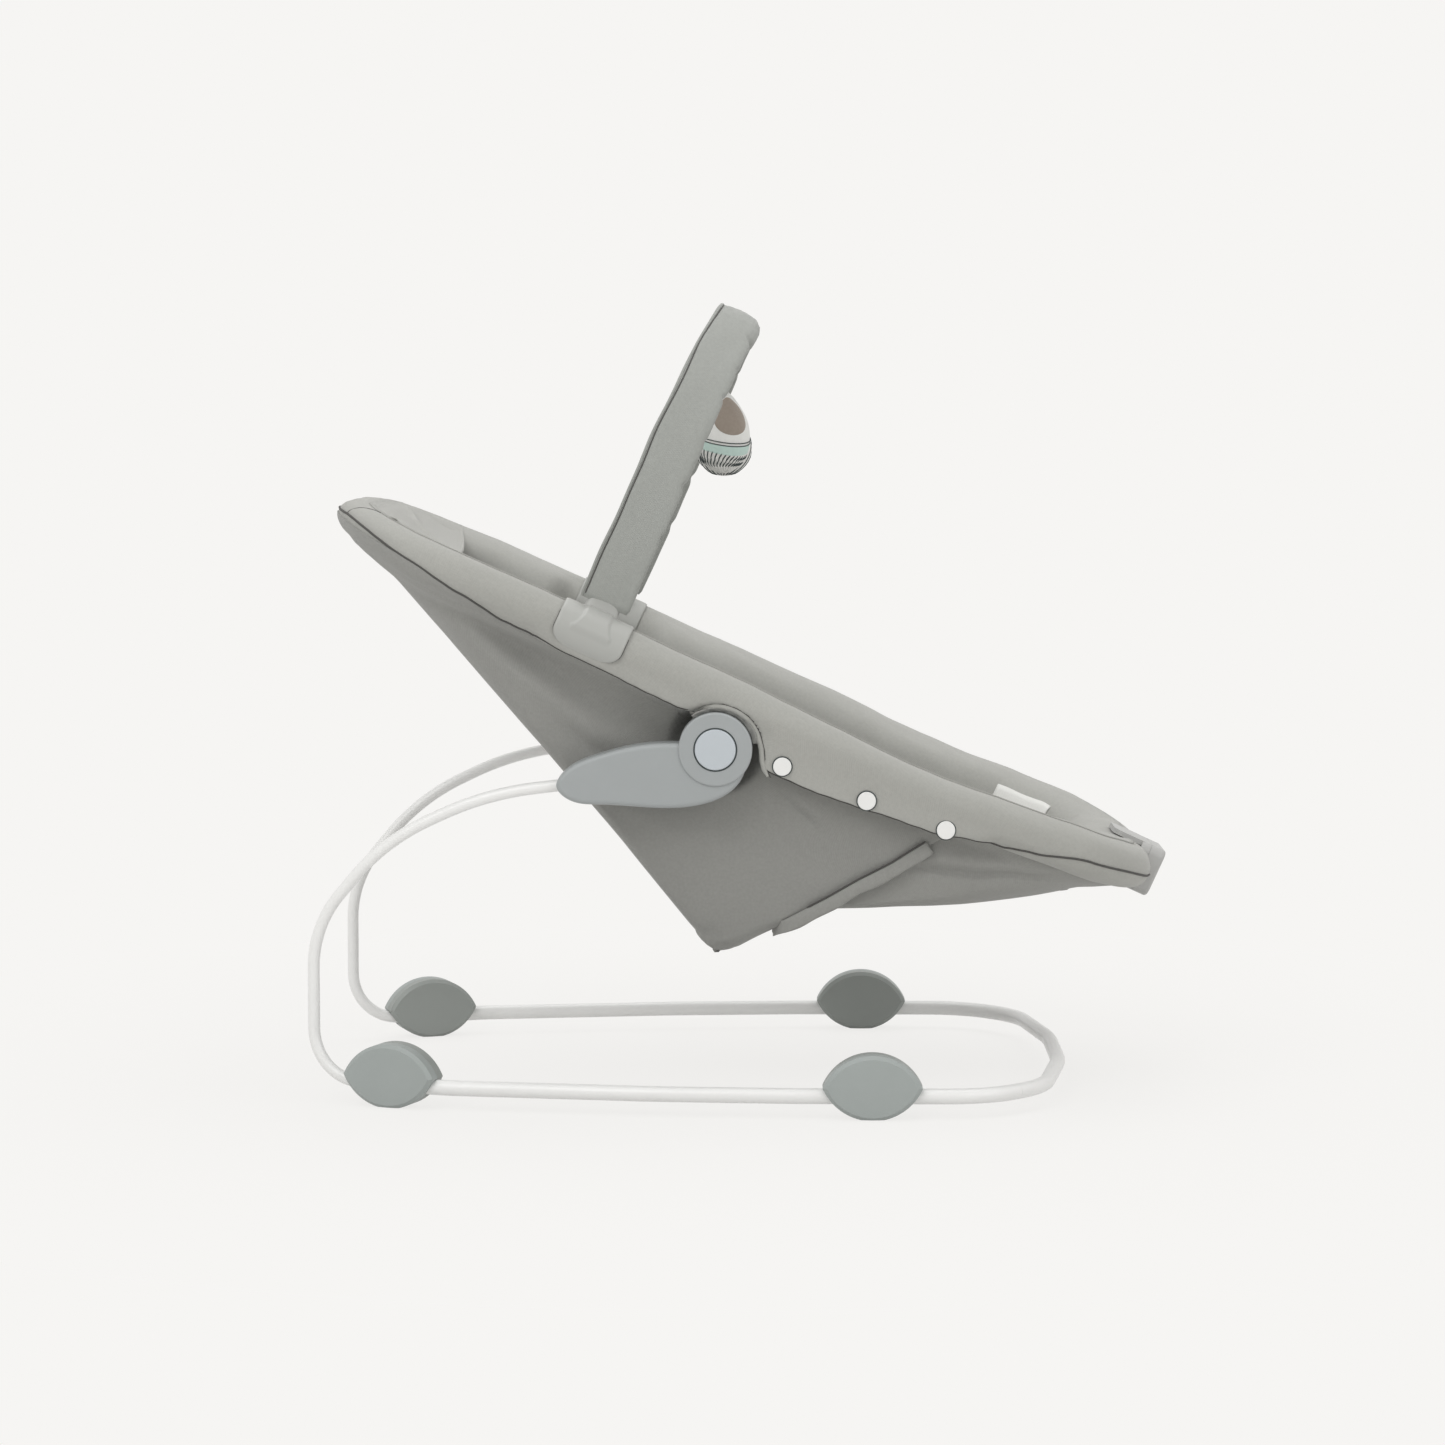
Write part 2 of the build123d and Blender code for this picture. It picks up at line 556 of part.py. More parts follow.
# ================================================================= soft seat
def rim_pad():
    """Padded fabric rim round the loop tube, open round the arm bosses and at the foot clip."""
    hole = Pos(0, LOOP_W - RIM_W) * Circle(LOOP_R + FIT)
    side = half_loop(Ellipse(RIM_HALF_Y, RIM_HALF_W) - hole, RIM_W)
    side -= y_disc(NOTCH_R, LUG_OUTER_Y, BUTTON_TOP_Y + 4 * PAST)
    riser_y = (LUG_INNER_Y + LUG_OUTER_Y) / 2 + PAST
    riser = Box(2 * (LUG_RISER + FIT), LUG_WIDTH + FIT, RISER_HIGH + FIT)
    side -= Pos(0, -riser_y, RISER_HIGH / 2) * riser
    side -= y_disc(LUG_R + FIT, LUG_INNER_Y - 5 * PAST, LUG_OUTER_Y + 5 * PAST)
    pocket = Box(UNIT_POCKET, 2 * (UNIT_Y + FIT), 3 * RIM_HALF_W)
    side -= Pos(UNIT_U[0] - FIT + UNIT_POCKET / 2, 0, RIM_W) * pocket
    return side + mirror(side, about=Plane.XZ)


def bag_block(inset):
    """The bag as a solid: side profile, plan with round ends and leaning sides."""
    run, fall = KNEE[0] - APEX[0], KNEE[1] - APEX[1]
    drop = inset * math.hypot(run, fall) / abs(run)
    line = [(BAG_HEAD_U, BAG_TOP_W), KNEE, APEX, *FOOT_PANEL]
    over = BAG_TOP_W + 2 * RIM_HALF_W
    profile = make_face(Polyline(
        (HEAD_U - 2 * RIM_HALF_Y, over), *[(u, w + drop) for u, w in line],
        (FOOT_U + 2 * RIM_HALF_Y, over), close=True))
    block = extrude(Plane.XZ * profile, BEYOND / 2, both=True)
    block -= half_space((0, 0, BAG_TOP_W + (PAST if inset else 0.0)), (0, 0, 1))
    path = loop_wire(-BEYOND / 2)
    plan = make_face(path + Line(path @ 1, path @ 0))
    plan += mirror(plan, about=Plane.XZ)
    plan = offset(plan, BAG_TOP_Y - LOOP_SIDE_Y - inset)
    block &= extrude(plan, BEYOND, dir=(0, 0, 1))
    for side in (-1, 1):
        lean = math.radians(BAG_TAPER)
        block -= half_space((0, side * (BAG_TOP_Y - inset), BAG_TOP_W),
                            (0, side * math.cos(lean), -math.sin(lean)))
    return block


def bag_parts():
    """The back bag and the foot cover, two shells that meet at the hem."""
    shell = bag_block(0.0) - bag_block(FABRIC)
    for side in (-1, 1):
        cut = y_disc(BAG_HOLE_R, LUG_INNER_Y - LUG_WIDTH, LUG_OUTER_Y + LUG_WIDTH)
        shell -= cut if side < 0 else mirror(cut, about=Plane.XZ)
    (u1, w1), (u2, w2) = HEM
    run = Vector(u2 - u1, 0, w2 - w1).normalized()
    across = Vector(run.Z, 0, -run.X)
    centre = Vector(u1, 0, w1)
    back = shell - half_space(centre - across * HEM_GAP / 2, across)
    foot = shell & half_space(centre + across * HEM_GAP / 2, across)
    return back, foot


BACK_ANGLE = math.degrees(math.atan2(KNEE[1] - APEX[1], APEX[0] - KNEE[0]))


def on_back(part):
    """From the backrest's own frame: x down the slope from the apex, z into the seat."""
    return Pos(APEX[0], 0, APEX[1]) * Rot(0, BACK_ANGLE, 0) * part


def back_board():
    """The stiff board behind the backrest's liner."""
    body = Box(BOARD_LENGTH, 2 * BOARD_Y, BOARD)
    body = fillet(body.edges().filter_by(Axis.Z), BOARD_CORNER)
    return on_back(Pos(-BACK_LOW - BOARD_LENGTH / 2, 0, FABRIC + FIT + BOARD / 2) * body)


def liner_back():
    """The padded liner of the backrest, round at the head."""
    body = Box(LINER_LENGTH, 2 * LINER_Y, LINER)
    body = fillet(body.edges().filter_by(Axis.Z).sort_by(Axis.X)[:2], LINER_CORNER)
    body = fillet(body.faces().sort_by(Axis.Z)[-1].edges(), LINER_EDGE)
    lift = FABRIC + BOARD + 2 * FIT + LINER / 2
    return on_back(Pos(-BACK_LOW - LINER_LENGTH / 2, 0, lift) * body)


def shifted(start, end, distance):
    """The line through two (u, w) points, moved square to itself into the seat."""
    run = Vector(end[0] - start[0], end[1] - start[1]).normalized()
    normal = Vector(-run.Y, run.X) * distance
    return Vector(*start) + normal, run


def meet(first, second):
    """Where two lines, each a point and a direction, cross."""
    (p, d), (q, e) = first, second
    along = ((q.X - p.X) * e.Y - (q.Y - p.Y) * e.X) / (d.X * e.Y - d.Y * e.X)
    return p + d * along


def liner_leg():
    """Padded liner on the two foot panels, bent where they meet."""
    low, knee, high = APEX, *FOOT_PANEL[:2]
    faces = []
    for distance in (FABRIC + FIT, FABRIC + FIT + LINER):
        first, second = shifted(low, knee, distance), shifted(knee, high, distance)
        length = (Vector(*high) - Vector(*knee)).length
        faces.append((first[0] + first[1] * BACK_LOW, meet(first, second),
                      second[0] + second[1] * length * LEG_LINER_END))
    (a, b, c), (d, e, f) = faces
    outline = make_face(Polyline(*[(p.X, p.Y) for p in (a, b, c, f, e, d)], close=True))
    body = extrude(Plane.XZ * outline, LEG_LINER_Y, both=True)
    corners = body.edges().filter_by(lambda edge: abs(edge.length - LINER) < FIT)
    return fillet(corners.sort_by(Axis.X)[-2:], LEG_LINER_CORNER)


def side_flap():
    """Outer flap of the foot cover, snapped to the seat below the rim."""
    return y_slab(make_face(Polyline(*FLAP_UW, close=True)), FLAP_Y, FLAP_Y + FLAP)


def snaps():
    """Three snap caps on a side, on the flap's outer face."""
    cap = y_disc(SNAP_R, FLAP_Y + FLAP + SHIM, FLAP_Y + FLAP + SNAP_CAP)
    cap = fillet(cap.faces().sort_by(Axis.Y)[0].edges(), SNAP_EDGE)
    return [Pos(u, 0, w) * cap for u, w in SNAP_UW]


# ================================================================= harness, on the backrest
def waist_strap():
    """Webbing from the liner's edge to the buckle tongue."""
    outer, inner = LINER_Y - STRAP_TUCK, BUCKLE[1] / 2 + TONGUE[1]
    body = Box(STRAP[0], outer - inner, STRAP[1])
    return on_back(Pos(HARNESS_X, -(outer + inner) / 2, LINER_TOP + BUCKLE[2] / 2) * body)


def waist_tongue():
    """Tongue of the buckle, with its slot for the webbing."""
    body = fillet(Box(*TONGUE).edges().filter_by(Axis.Z), TONGUE_CORNER)
    slot = Box(STRAP[0] + 2 * FIT, TONGUE_SLOT, STRAP[1] + 2 * FIT)
    body -= Pos(0, -TONGUE[1] / 2, 0) * slot
    mid = BUCKLE[1] / 2 + FIT + TONGUE[1] / 2
    return on_back(Pos(HARNESS_X, -mid, LINER_TOP + BUCKLE[2] / 2) * body)


def buckle_body():
    """The buckle, with the well of its release button."""
    body = fillet(Box(*BUCKLE).edges().filter_by(Axis.Z), BUCKLE_CORNER)
    body = fillet(body.faces().sort_by(Axis.Z)[-1].edges(), BUCKLE_EDGE)
    well = Pos(0, 0, BUCKLE[2] / 2) * Cylinder(BUCKLE_BUTTON_R + FIT, 2 * BUCKLE_WELL)
    return on_back(Pos(HARNESS_X, 0, LINER_TOP + BUCKLE[2] / 2) * (body - well))


def buckle_button():
    """The round release button, free to sink by its travel."""
    height = BUCKLE_WELL - BUCKLE_TRAVEL - FIT + BUCKLE_BUTTON_RISE
    body = Cylinder(BUCKLE_BUTTON_R, height)
    body = fillet(body.faces().sort_by(Axis.Z)[-1].edges(), BUCKLE_BUTTON_RISE)
    top = LINER_TOP + BUCKLE[2] + BUCKLE_BUTTON_RISE
    return on_back(Pos(HARNESS_X, 0, top - height / 2) * body)


def crotch_strap():
    """Webbing from the bottom fold up to the buckle."""
    high = HARNESS_X + BUCKLE[0] / 2 + FIT
    body = Box(CROTCH_X - high, STRAP[0], STRAP[1])
    return on_back(Pos((CROTCH_X + high) / 2, 0, LINER_TOP + STRAP[1] / 2) * body)


# ================================================================= toy arch
def arch_band(section, extra=0.0):
    """Sweep a section along the arch's middle line; extra lengthens both ends."""
    (y, w), *rest = ARCH_POINTS
    points = [(y, w - extra), *rest]
    right = [(ARCH_U, -y, w) for y, w in points]
    left = [(ARCH_U, y, w) for y, w in reversed(points)]
    path = FilletPolyline(*right, *left, radius=[*ARCH_RADII, *reversed(ARCH_RADII)])
    start = Plane(origin=path @ 0, x_dir=(1, 0, 0), z_dir=path % 0)
    return sweep(start * section, path=path)


def arch_core():
    """The stiff band inside the arch, which reaches down into both saddles."""
    return arch_band(Rectangle(*CORE), CORE_SOCKET)


def arch_sleeve():
    """The padded sleeve round the core."""
    pocket = Rectangle(CORE[0] + 2 * FIT, CORE[1] + 2 * FIT)
    return arch_band(RectangleRounded(*SLEEVE, SLEEVE_ROUND) - pocket)


def saddle():
    """Clip that straddles the rim, with the neck that holds the end of the arch core."""
    def straddle(extra, low):
        """The arched outline round the rim, in (y, w), with its legs down to a height."""
        half_y, half_w = RIM_HALF_Y + extra, RIM_HALF_W + extra
        dome = Ellipse(half_y, half_w) & Pos(0, half_w) * Rectangle(4 * half_y, 2 * half_w)
        legs = Pos(0, (low - RIM_W) / 2) * Rectangle(2 * half_y, RIM_W - low)
        return Pos(-LOOP_SIDE_Y, RIM_W) * (dome + legs)

    inner = straddle(FIT, SADDLE_LOW_W - SADDLE_UNDERCUT)
    plane = Plane(origin=(ARCH_U - SADDLE_LENGTH / 2, 0, 0), x_dir=(0, 1, 0), z_dir=(1, 0, 0))
    body = extrude(plane * (straddle(FIT + SADDLE_WALL, SADDLE_LOW_W) - inner), SADDLE_LENGTH)
    side_view = RectangleRounded(SADDLE_LENGTH, SADDLE_HEIGHT, SADDLE_CORNER)
    side_view = Pos(ARCH_U, SADDLE_LOW_W + SADDLE_HEIGHT / 2) * side_view
    body &= extrude(Plane.XZ * side_view, BEYOND / 2)
    neck_high = ARCH_POINTS[0][1] - FIT
    root_w = RIM_W + RIM_HALF_W * NECK_FOOT_SHARE
    root = Plane(origin=(ARCH_U, -ARCH_Y, root_w), x_dir=(1, 0, 0), z_dir=(0, 0, 1))
    top = Plane(origin=(ARCH_U, -ARCH_Y, neck_high), x_dir=(1, 0, 0), z_dir=(0, 0, 1))
    body += loft([root * RectangleRounded(*NECK_FOOT), top * RectangleRounded(*NECK_TOP)])
    socket = Box(CORE[0] + 2 * RUN, CORE[1] + 2 * RUN, CORE_SOCKET + 2 * FIT)
    socket = Pos(ARCH_U, -ARCH_Y, neck_high - CORE_SOCKET / 2) * socket
    return body - extrude(plane * inner, SADDLE_LENGTH) - socket


# ================================================================= toys
def arch_under(y):
    """The point under the arch at a distance from the mirror plane, in the row frame."""
    inner_r = ARCH_RADII[-1] - SLEEVE[1] / 2
    corner_y, top_w = ARCH_POINTS[-1]
    below_y, below_w = ARCH_POINTS[-2]
    turn = math.atan2(top_w - below_w, below_y - corner_y)
    arc_y = corner_y - ARCH_RADII[-1] * math.tan(turn / 2)
    edge = abs(y) + RIBBON[0] / 2 - arc_y
    w = top_w - ARCH_RADII[-1] + math.sqrt(inner_r ** 2 - edge ** 2)
    tilt, u = math.radians(SEAT_TILT), ARCH_U - TOY_BACK
    x = HUB_X + u * math.cos(tilt) + w * math.sin(tilt)
    z = HUB_Z - u * math.sin(tilt) + w * math.cos(tilt)
    return x, z - 2 * FIT


def toy_egg():
    """The egg-shaped toy, by revolving half its outline about its own axis."""
    x, z = arch_under(TOY_Y)
    side = Spline((0, TOY_HIGH), (TOY_R * 0.62, TOY_HIGH * 0.70), (TOY_R, 0),
                  (TOY_R * 0.68, -TOY_LOW * 0.76), (0, -TOY_LOW), tangents=[(1, 0), (-1, 0)])
    egg = revolve(Plane.XZ * make_face([side, Line((0, -TOY_LOW), (0, TOY_HIGH))]), Axis.Z)
    return Pos(x, -TOY_Y, z - TOY_DROP[0] - TOY_HIGH) * egg


def toy_ball():
    """The round toy."""
    x, z = arch_under(TOY_Y)
    return Pos(x, TOY_Y, z - TOY_DROP[1] - BALL_R) * Sphere(BALL_R)


def ribbon(y, drop):
    """The loop of ribbon that a toy hangs from, pressed flat."""
    x, z = arch_under(y)
    return Pos(x, y, z - drop / 2) * Box(RIBBON[1], RIBBON[0], drop - 2 * RIBBON_END)


# ================================================================= vibration unit
def rounded_block(u, w, half_y, radius):
    """A block between two u and two w values, with its corners round the u axis rounded."""
    body = Pos((u[0] + u[1]) / 2, 0, (w[0] + w[1]) / 2) * Box(u[1] - u[0], 2 * half_y, w[1] - w[0])
    return fillet(body.edges().filter_by(Axis.X), radius)


def unit_room(u):
    """The unit's hollow between two u values."""
    low, high = UNIT_W
    return rounded_block(u, (low + UNIT_WALL, high - UNIT_WALL), UNIT_Y - UNIT_WALL, UNIT_CORNER - UNIT_WALL)


def unit_clip():
    """Inner half of the unit, with the lip that hooks over the rim."""
    back = rounded_block((UNIT_U[0], UNIT_SPLIT_U - SHIM), UNIT_W, UNIT_Y, UNIT_CORNER)
    lip_low = RIM_W + RIM_HALF_W + FIT
    lip = Box(LIP_REACH + LIP_ROOT, 2 * LIP_Y, UNIT_W[1] - lip_low)
    lip = Pos(UNIT_U[0] + (LIP_ROOT - LIP_REACH) / 2, 0, (lip_low + UNIT_W[1]) / 2) * lip
    lip = fillet(lip.edges().filter_by(Axis.Z).sort_by(Axis.X)[:2], LIP_CORNER)
    return (back - unit_room((INNER_U, UNIT_SPLIT_U + PAST))) + lip - door_blank(FIT)


def unit_housing():
    """Outer half of the unit, with the key's hole and the battery door's opening below."""
    outer = rounded_block((UNIT_SPLIT_U + SHIM, UNIT_U[1]), UNIT_W, UNIT_Y, UNIT_CORNER)
    outer = fillet(outer.faces().sort_by(Axis.X)[-1].edges(), UNIT_EDGE)
    shell = outer - unit_room((UNIT_SPLIT_U - PAST, UNIT_U[1] - UNIT_WALL))
    shell -= Pos(UNIT_U[1], 0, KEY_W) * Box(4 * UNIT_WALL, KEY[1] + 2 * FIT, KEY[0] + 2 * FIT)
    return shell - door_blank(FIT)


def door_blank(gap):
    """The battery door, or the hole for it, in the bottom wall under the cell."""
    plate = Pos(BATTERY_U, 0, UNIT_W[0] + UNIT_WALL / 2) * Box(
        DOOR[0] + 2 * gap, DOOR[1] + 2 * gap, UNIT_WALL + 2 * gap)
    return fillet(plate.edges().filter_by(Axis.Z), DOOR_CORNER)


def unit_key():
    """The on-off key, raised above the outer face, with a flange behind the wall."""
    wall = UNIT_U[1] - UNIT_WALL
    high = UNIT_U[1] + KEY[2]
    body = Pos((wall - FIT + high) / 2, 0, KEY_W) * Box(high - wall + FIT, KEY[1], KEY[0])
    body = fillet(body.edges().filter_by(Axis.X), KEY_CORNER)
    body = fillet(body.faces().sort_by(Axis.X)[-1].edges(), KEY_EDGE)
    flange = Box(KEY_FLANGE, KEY[1] + 2 * KEY_LAP, KEY[0] + 2 * KEY_LAP)
    return body + Pos(wall - FIT - KEY_FLANGE / 2, 0, KEY_W) * flange


def unit_battery():
    """The cell, with its raised pole."""
    cell = Rot(90, 0, 0) * Cylinder(BATTERY_R, BATTERY_LENGTH)
    pole = Pos(0, -(BATTERY_LENGTH + BATTERY_PIP[1]) / 2, 0) * Rot(90, 0, 0) * Cylinder(*BATTERY_PIP)
    return Pos(BATTERY_U, 0, BATTERY_W) * (cell + pole)


def unit_motor():
    """The motor's can and shaft."""
    can = Rot(90, 0, 0) * Cylinder(MOTOR_R, MOTOR_LENGTH)
    shaft = Pos(0, -(MOTOR_LENGTH + SHAFT_LENGTH) / 2, 0) * Rot(90, 0, 0) * Cylinder(SHAFT_R, SHAFT_LENGTH)
    return Pos(MOTOR_U, MOTOR_Y, MOTOR_W) * (can + shaft)


def unit_weight():
    """Half-round weight that turns on the motor's shaft."""
    disc = Rot(90, 0, 0) * (Cylinder(WEIGHT_R, WEIGHT_LENGTH) - Cylinder(SHAFT_R + RUN, 2 * WEIGHT_LENGTH))
    y = MOTOR_Y - MOTOR_LENGTH / 2 - WEIGHT_GAP - WEIGHT_LENGTH / 2
    return Pos(MOTOR_U, y, MOTOR_W) * (disc - half_space((0, 0, WEIGHT_OVER), (0, 0, 1)))


# ================================================================= write the nodes
os.makedirs("parts", exist_ok=True)

save_pair("leg_rod", leg_rod())
front, side_right, pin = floor_tubes()
save("front_tube", front)
save_pair("floor_tube", side_right)
save_group("tube_joiners", pin)
for name, half in zip(("rear_foot_inner", "rear_foot_outer", "front_foot_inner", "front_foot_outer"), feet()):
    save_pair(name, half)

save_pair("arm_outer_shell", place_hub(arm_outer()))
save_pair("arm_inner_shell", place_hub(arm_inner()))
save_group("arm_screws", *[place_hub(screw) for screw in arm_screws()])
save_group("pivot_bolts", place_hub(pivot_bolt()))
save_group("pivot_nuts", place_hub(pivot_nut()))
save_pair("hub_button", place_hub(hub_button()))
save_pair("lock_gear", place_seat(lock_gear()))
save_pair("lock_spring", place_seat(lock_spring()))

head_tube, foot_tube = loop_tubes()
save("head_frame_tube", place_seat(head_tube))
save("foot_frame_tube", place_seat(foot_tube))
save_pair("hub_lug", place_seat(hub_lug()))
save("rim_pad", place_seat(rim_pad()))
back_bag, foot_cover = bag_parts()
save("back_bag", place_seat(back_bag))
save("foot_cover", place_seat(foot_cover))
save("back_board", place_seat(back_board()))
save("liner_back", place_seat(liner_back()))
save("liner_leg", place_seat(liner_leg()))
save_group("side_flaps", place_seat(side_flap()))
save_group("snap_caps", *[place_seat(cap) for cap in snaps()])

save_group("waist_straps", place_seat(waist_strap()))
save_group("waist_tongues", place_seat(waist_tongue()))
save("crotch_strap", place_seat(crotch_strap()))
save("buckle_body", place_seat(buckle_body()))
save("buckle_button", place_seat(buckle_button()))

save("arch_core", place_seat(arch_core()))
save("arch_sleeve", place_seat(arch_sleeve()))
save_pair("arch_saddle", place_seat(saddle()))
save("toy_egg", toy_egg())
save("toy_ball", toy_ball())
save("ribbon_egg", ribbon(-TOY_Y, TOY_DROP[0]))
save("ribbon_ball", ribbon(TOY_Y, TOY_DROP[1]))

save("unit_clip", place_seat(unit_clip()))
save("unit_housing", place_seat(unit_housing()))
save("unit_key", place_seat(unit_key()))
save("unit_door", place_seat(door_blank(0.0)))
save("unit_battery", place_seat(unit_battery()))
save("unit_motor", place_seat(unit_motor()))
save("unit_weight", place_seat(unit_weight()))
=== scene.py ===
"""A baby's bouncer: a padded seat with a toy arch on a bent-tube stand.

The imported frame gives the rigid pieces. The classes below make the soft
pieces and the arch's two clips over it, finish each surface and light a
plain studio.
"""
import json
import logging
import math
from dataclasses import dataclass
from enum import Enum
from typing import Callable, Optional, Sequence

import bmesh
import bpy
from mathutils import Matrix, Vector, noise


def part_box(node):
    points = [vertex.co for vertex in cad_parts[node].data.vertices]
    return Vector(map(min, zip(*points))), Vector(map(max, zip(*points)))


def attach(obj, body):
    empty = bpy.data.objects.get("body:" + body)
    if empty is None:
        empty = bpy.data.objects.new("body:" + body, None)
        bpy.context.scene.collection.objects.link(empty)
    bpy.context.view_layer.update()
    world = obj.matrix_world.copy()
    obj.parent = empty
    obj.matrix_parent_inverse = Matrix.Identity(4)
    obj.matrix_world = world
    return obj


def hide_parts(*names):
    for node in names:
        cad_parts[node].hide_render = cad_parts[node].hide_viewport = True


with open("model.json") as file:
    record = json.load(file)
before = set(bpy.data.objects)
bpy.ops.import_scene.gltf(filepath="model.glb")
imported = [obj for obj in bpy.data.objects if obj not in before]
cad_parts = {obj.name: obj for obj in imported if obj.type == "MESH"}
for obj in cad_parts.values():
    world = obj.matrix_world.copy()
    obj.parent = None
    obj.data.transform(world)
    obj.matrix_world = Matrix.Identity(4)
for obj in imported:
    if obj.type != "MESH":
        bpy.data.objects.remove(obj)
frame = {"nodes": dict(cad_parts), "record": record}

LOG = logging.getLogger("bouncer")
Placer = Callable[[float, float], Vector]
Colour = tuple[float, float, float]
Table = tuple[tuple[float, float], ...]
Piece = bpy.types.Object
Node = bpy.types.Node
Socket = bpy.types.NodeSocket
Tree = bpy.types.NodeTree
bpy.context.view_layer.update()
ARCH_U = -0.133


class Side(Enum):
    """The two sides of the seat, by the sign of Y."""

    RIGHT = -1
    LEFT = 1

    @property
    def word(self) -> str:
        """The side's part of a piece's name."""
        return self.name.lower()


# ------------------------------------------------------------------ the seat's own planes
@dataclass(frozen=True)
class SeatPlane:
    """The tilted plane of the seat: u towards the foot end, w out of the seat."""

    hub: Vector
    tilt: float = math.radians(24.4)

    def at(self, u: float, y: float, w: float) -> Vector:
        """Place of seat coordinates in the row frame.

        Args:
            u: Metres towards the foot end from the recline axis.
            y: Metres towards the child's left.
            w: Metres square to the seat, upwards.

        Returns:
            The point in the row frame.
        """
        c, s = math.cos(self.tilt), math.sin(self.tilt)
        return Vector((self.hub.x + u * c + w * s, y, self.hub.z - u * s + w * c))


@dataclass(frozen=True)
class Station:
    """One place on the loop: its point, the way outwards, and its distance along."""

    u: float
    y: float
    out: Vector
    run: float


def even_steps(line: Sequence[Vector], steps: int) -> tuple[float, list[tuple[float, int, float]]]:
    """Cut a line of points into steps of equal length.

    Args:
        line: The points.
        steps: How many steps.

    Returns:
        The line's length and its cuts: distance, the point before, and the share of the way on.
    """
    lengths = [0.0]
    for a, b in zip(line, line[1:]):
        lengths.append(lengths[-1] + (b - a).length)
    total, cuts, k = lengths[-1], [], 0
    for i in range(steps + 1):
        want = total * i / steps
        while k < len(line) - 2 and lengths[k + 1] < want:
            k += 1
        cuts.append((want, k, (want - lengths[k]) / max(1e-9, lengths[k + 1] - lengths[k])))
    return total, cuts


def turns_of(count: int) -> list[float]:
    """Even angles round a whole turn."""
    return [math.tau * i / count for i in range(count)]


@dataclass(frozen=True)
class Loop:
    """The rounded plan of the seat's tube."""

    corners: tuple[tuple[float, float, float], ...] = (
        (-0.354, 0.105, 0.116), (-0.285, 0.176, 0.116), (0.250, 0.176, 0.220),
        (0.330, 0.150, 0.080), (0.363, 0.100, 0.085))

    def trace(self) -> list[tuple[Vector, Vector]]:
        """Points and outward directions round the whole loop, closely spaced in its bends.

        Returns:
            Pairs of a plan point (u, y) and the unit outward normal, head end first along -Y.
        """
        right = [(u, -y, r) for u, y, r in self.corners]
        left = [(u, y, r) for u, y, r in reversed(self.corners)]
        ring = right + left
        dense: list[tuple[Vector, Vector]] = []
        for index, (u, y, radius) in enumerate(ring):
            corner = Vector((u, y))
            before = Vector(ring[index - 1][:2])
            after = Vector(ring[(index + 1) % len(ring)][:2])
            arrive, leave = (corner - before).normalized(), (after - corner).normalized()
            turn = math.acos(max(-1.0, min(1.0, arrive.dot(leave))))
            reach = radius * math.tan(turn / 2)
            start = corner - arrive * reach
            out_start = Vector((arrive.y, -arrive.x))
            centre = start - out_start * radius
            steps = max(3, int(turn / math.radians(2.0)))
            for step in range(steps + 1):
                spin = Matrix.Rotation(turn * step / steps, 2)
                out = spin @ out_start
                dense.append((centre + out * radius, out))
        return dense

    def stations(self, count: int) -> list[Station]:
        """Evenly spaced places round the loop.

        Args:
            count: How many places.

        Returns:
            The stations, starting at the middle of the head end.
        """
        dense = self.trace()
        middle = ((dense[-1][0] + dense[0][0]) / 2, Vector((-1, 0)))
        dense = [middle] + dense + [middle]
        made = []
        for want, k, share in even_steps([p for p, _ in dense], count)[1][:-1]:
            point = dense[k][0].lerp(dense[k + 1][0], share)
            out = dense[k][1].lerp(dense[k + 1][1], share).normalized()
            made.append(Station(point.x, point.y, out, want))
        return made


def nearest(stations: Sequence[Station], u: float, y: float) -> int:
    """Index of the station closest to a plan point."""
    return min(range(len(stations)), key=lambda i: math.hypot(stations[i].u - u, stations[i].y - y))


# ------------------------------------------------------------------ making meshes
def patch(name: str, columns: int, rows: int, place: Placer,
          cloth: tuple[float, float] = (1.0, 1.0)) -> Piece:
    """Bend a flat grid into a surface, closing it where its edges meet.

    Args:
        name: Name of the new piece.
        columns: Divisions along the first direction.
        rows: Divisions along the second.
        place: Gives the place of each pair of shares from 0 to 1.
        cloth: Metres that the pattern covers each way, for the weave.

    Returns:
        The new object, smooth shaded.
    """
    bm = bmesh.new()
    bmesh.ops.create_grid(bm, x_segments=columns, y_segments=rows, size=1.0)
    weave = bm.loops.layers.uv.new("cloth")
    for face in bm.faces:
        for loop in face.loops:
            share = loop.vert.co
            loop[weave].uv = ((share.x + 1) / 2 * cloth[0], (share.y + 1) / 2 * cloth[1])
    for vert in bm.verts:
        vert.co = place((vert.co.x + 1) / 2, (vert.co.y + 1) / 2)
    bmesh.ops.remove_doubles(bm, verts=bm.verts, dist=1e-5)
    bmesh.ops.dissolve_degenerate(bm, edges=bm.edges, dist=1e-6)
    bmesh.ops.recalc_face_normals(bm, faces=bm.faces)
    return finish_mesh(name, bm)


def finish_mesh(name: str, bm: bmesh.types.BMesh) -> Piece:
    """Turn a bmesh into a smooth-shaded object at the origin.

    Args:
        name: Name of the new piece.
        bm: The mesh, which is freed.

    Returns:
        The object, linked to the scene.
    """
    mesh = bpy.data.meshes.new(name)
    bm.to_mesh(mesh)
    bm.free()
    mesh.polygons.foreach_set("use_smooth", [True] * len(mesh.polygons))
    piece = bpy.data.objects.new(name, mesh)
    bpy.context.scene.collection.objects.link(piece)
    return piece


def wall(piece: Piece, thickness: float, offset: float = -1.0) -> None:
    """Give an open skin its cloth thickness."""
    solid = piece.modifiers.new("wall", "SOLIDIFY")
    solid.thickness, solid.offset, solid.use_even_offset = thickness, offset, False


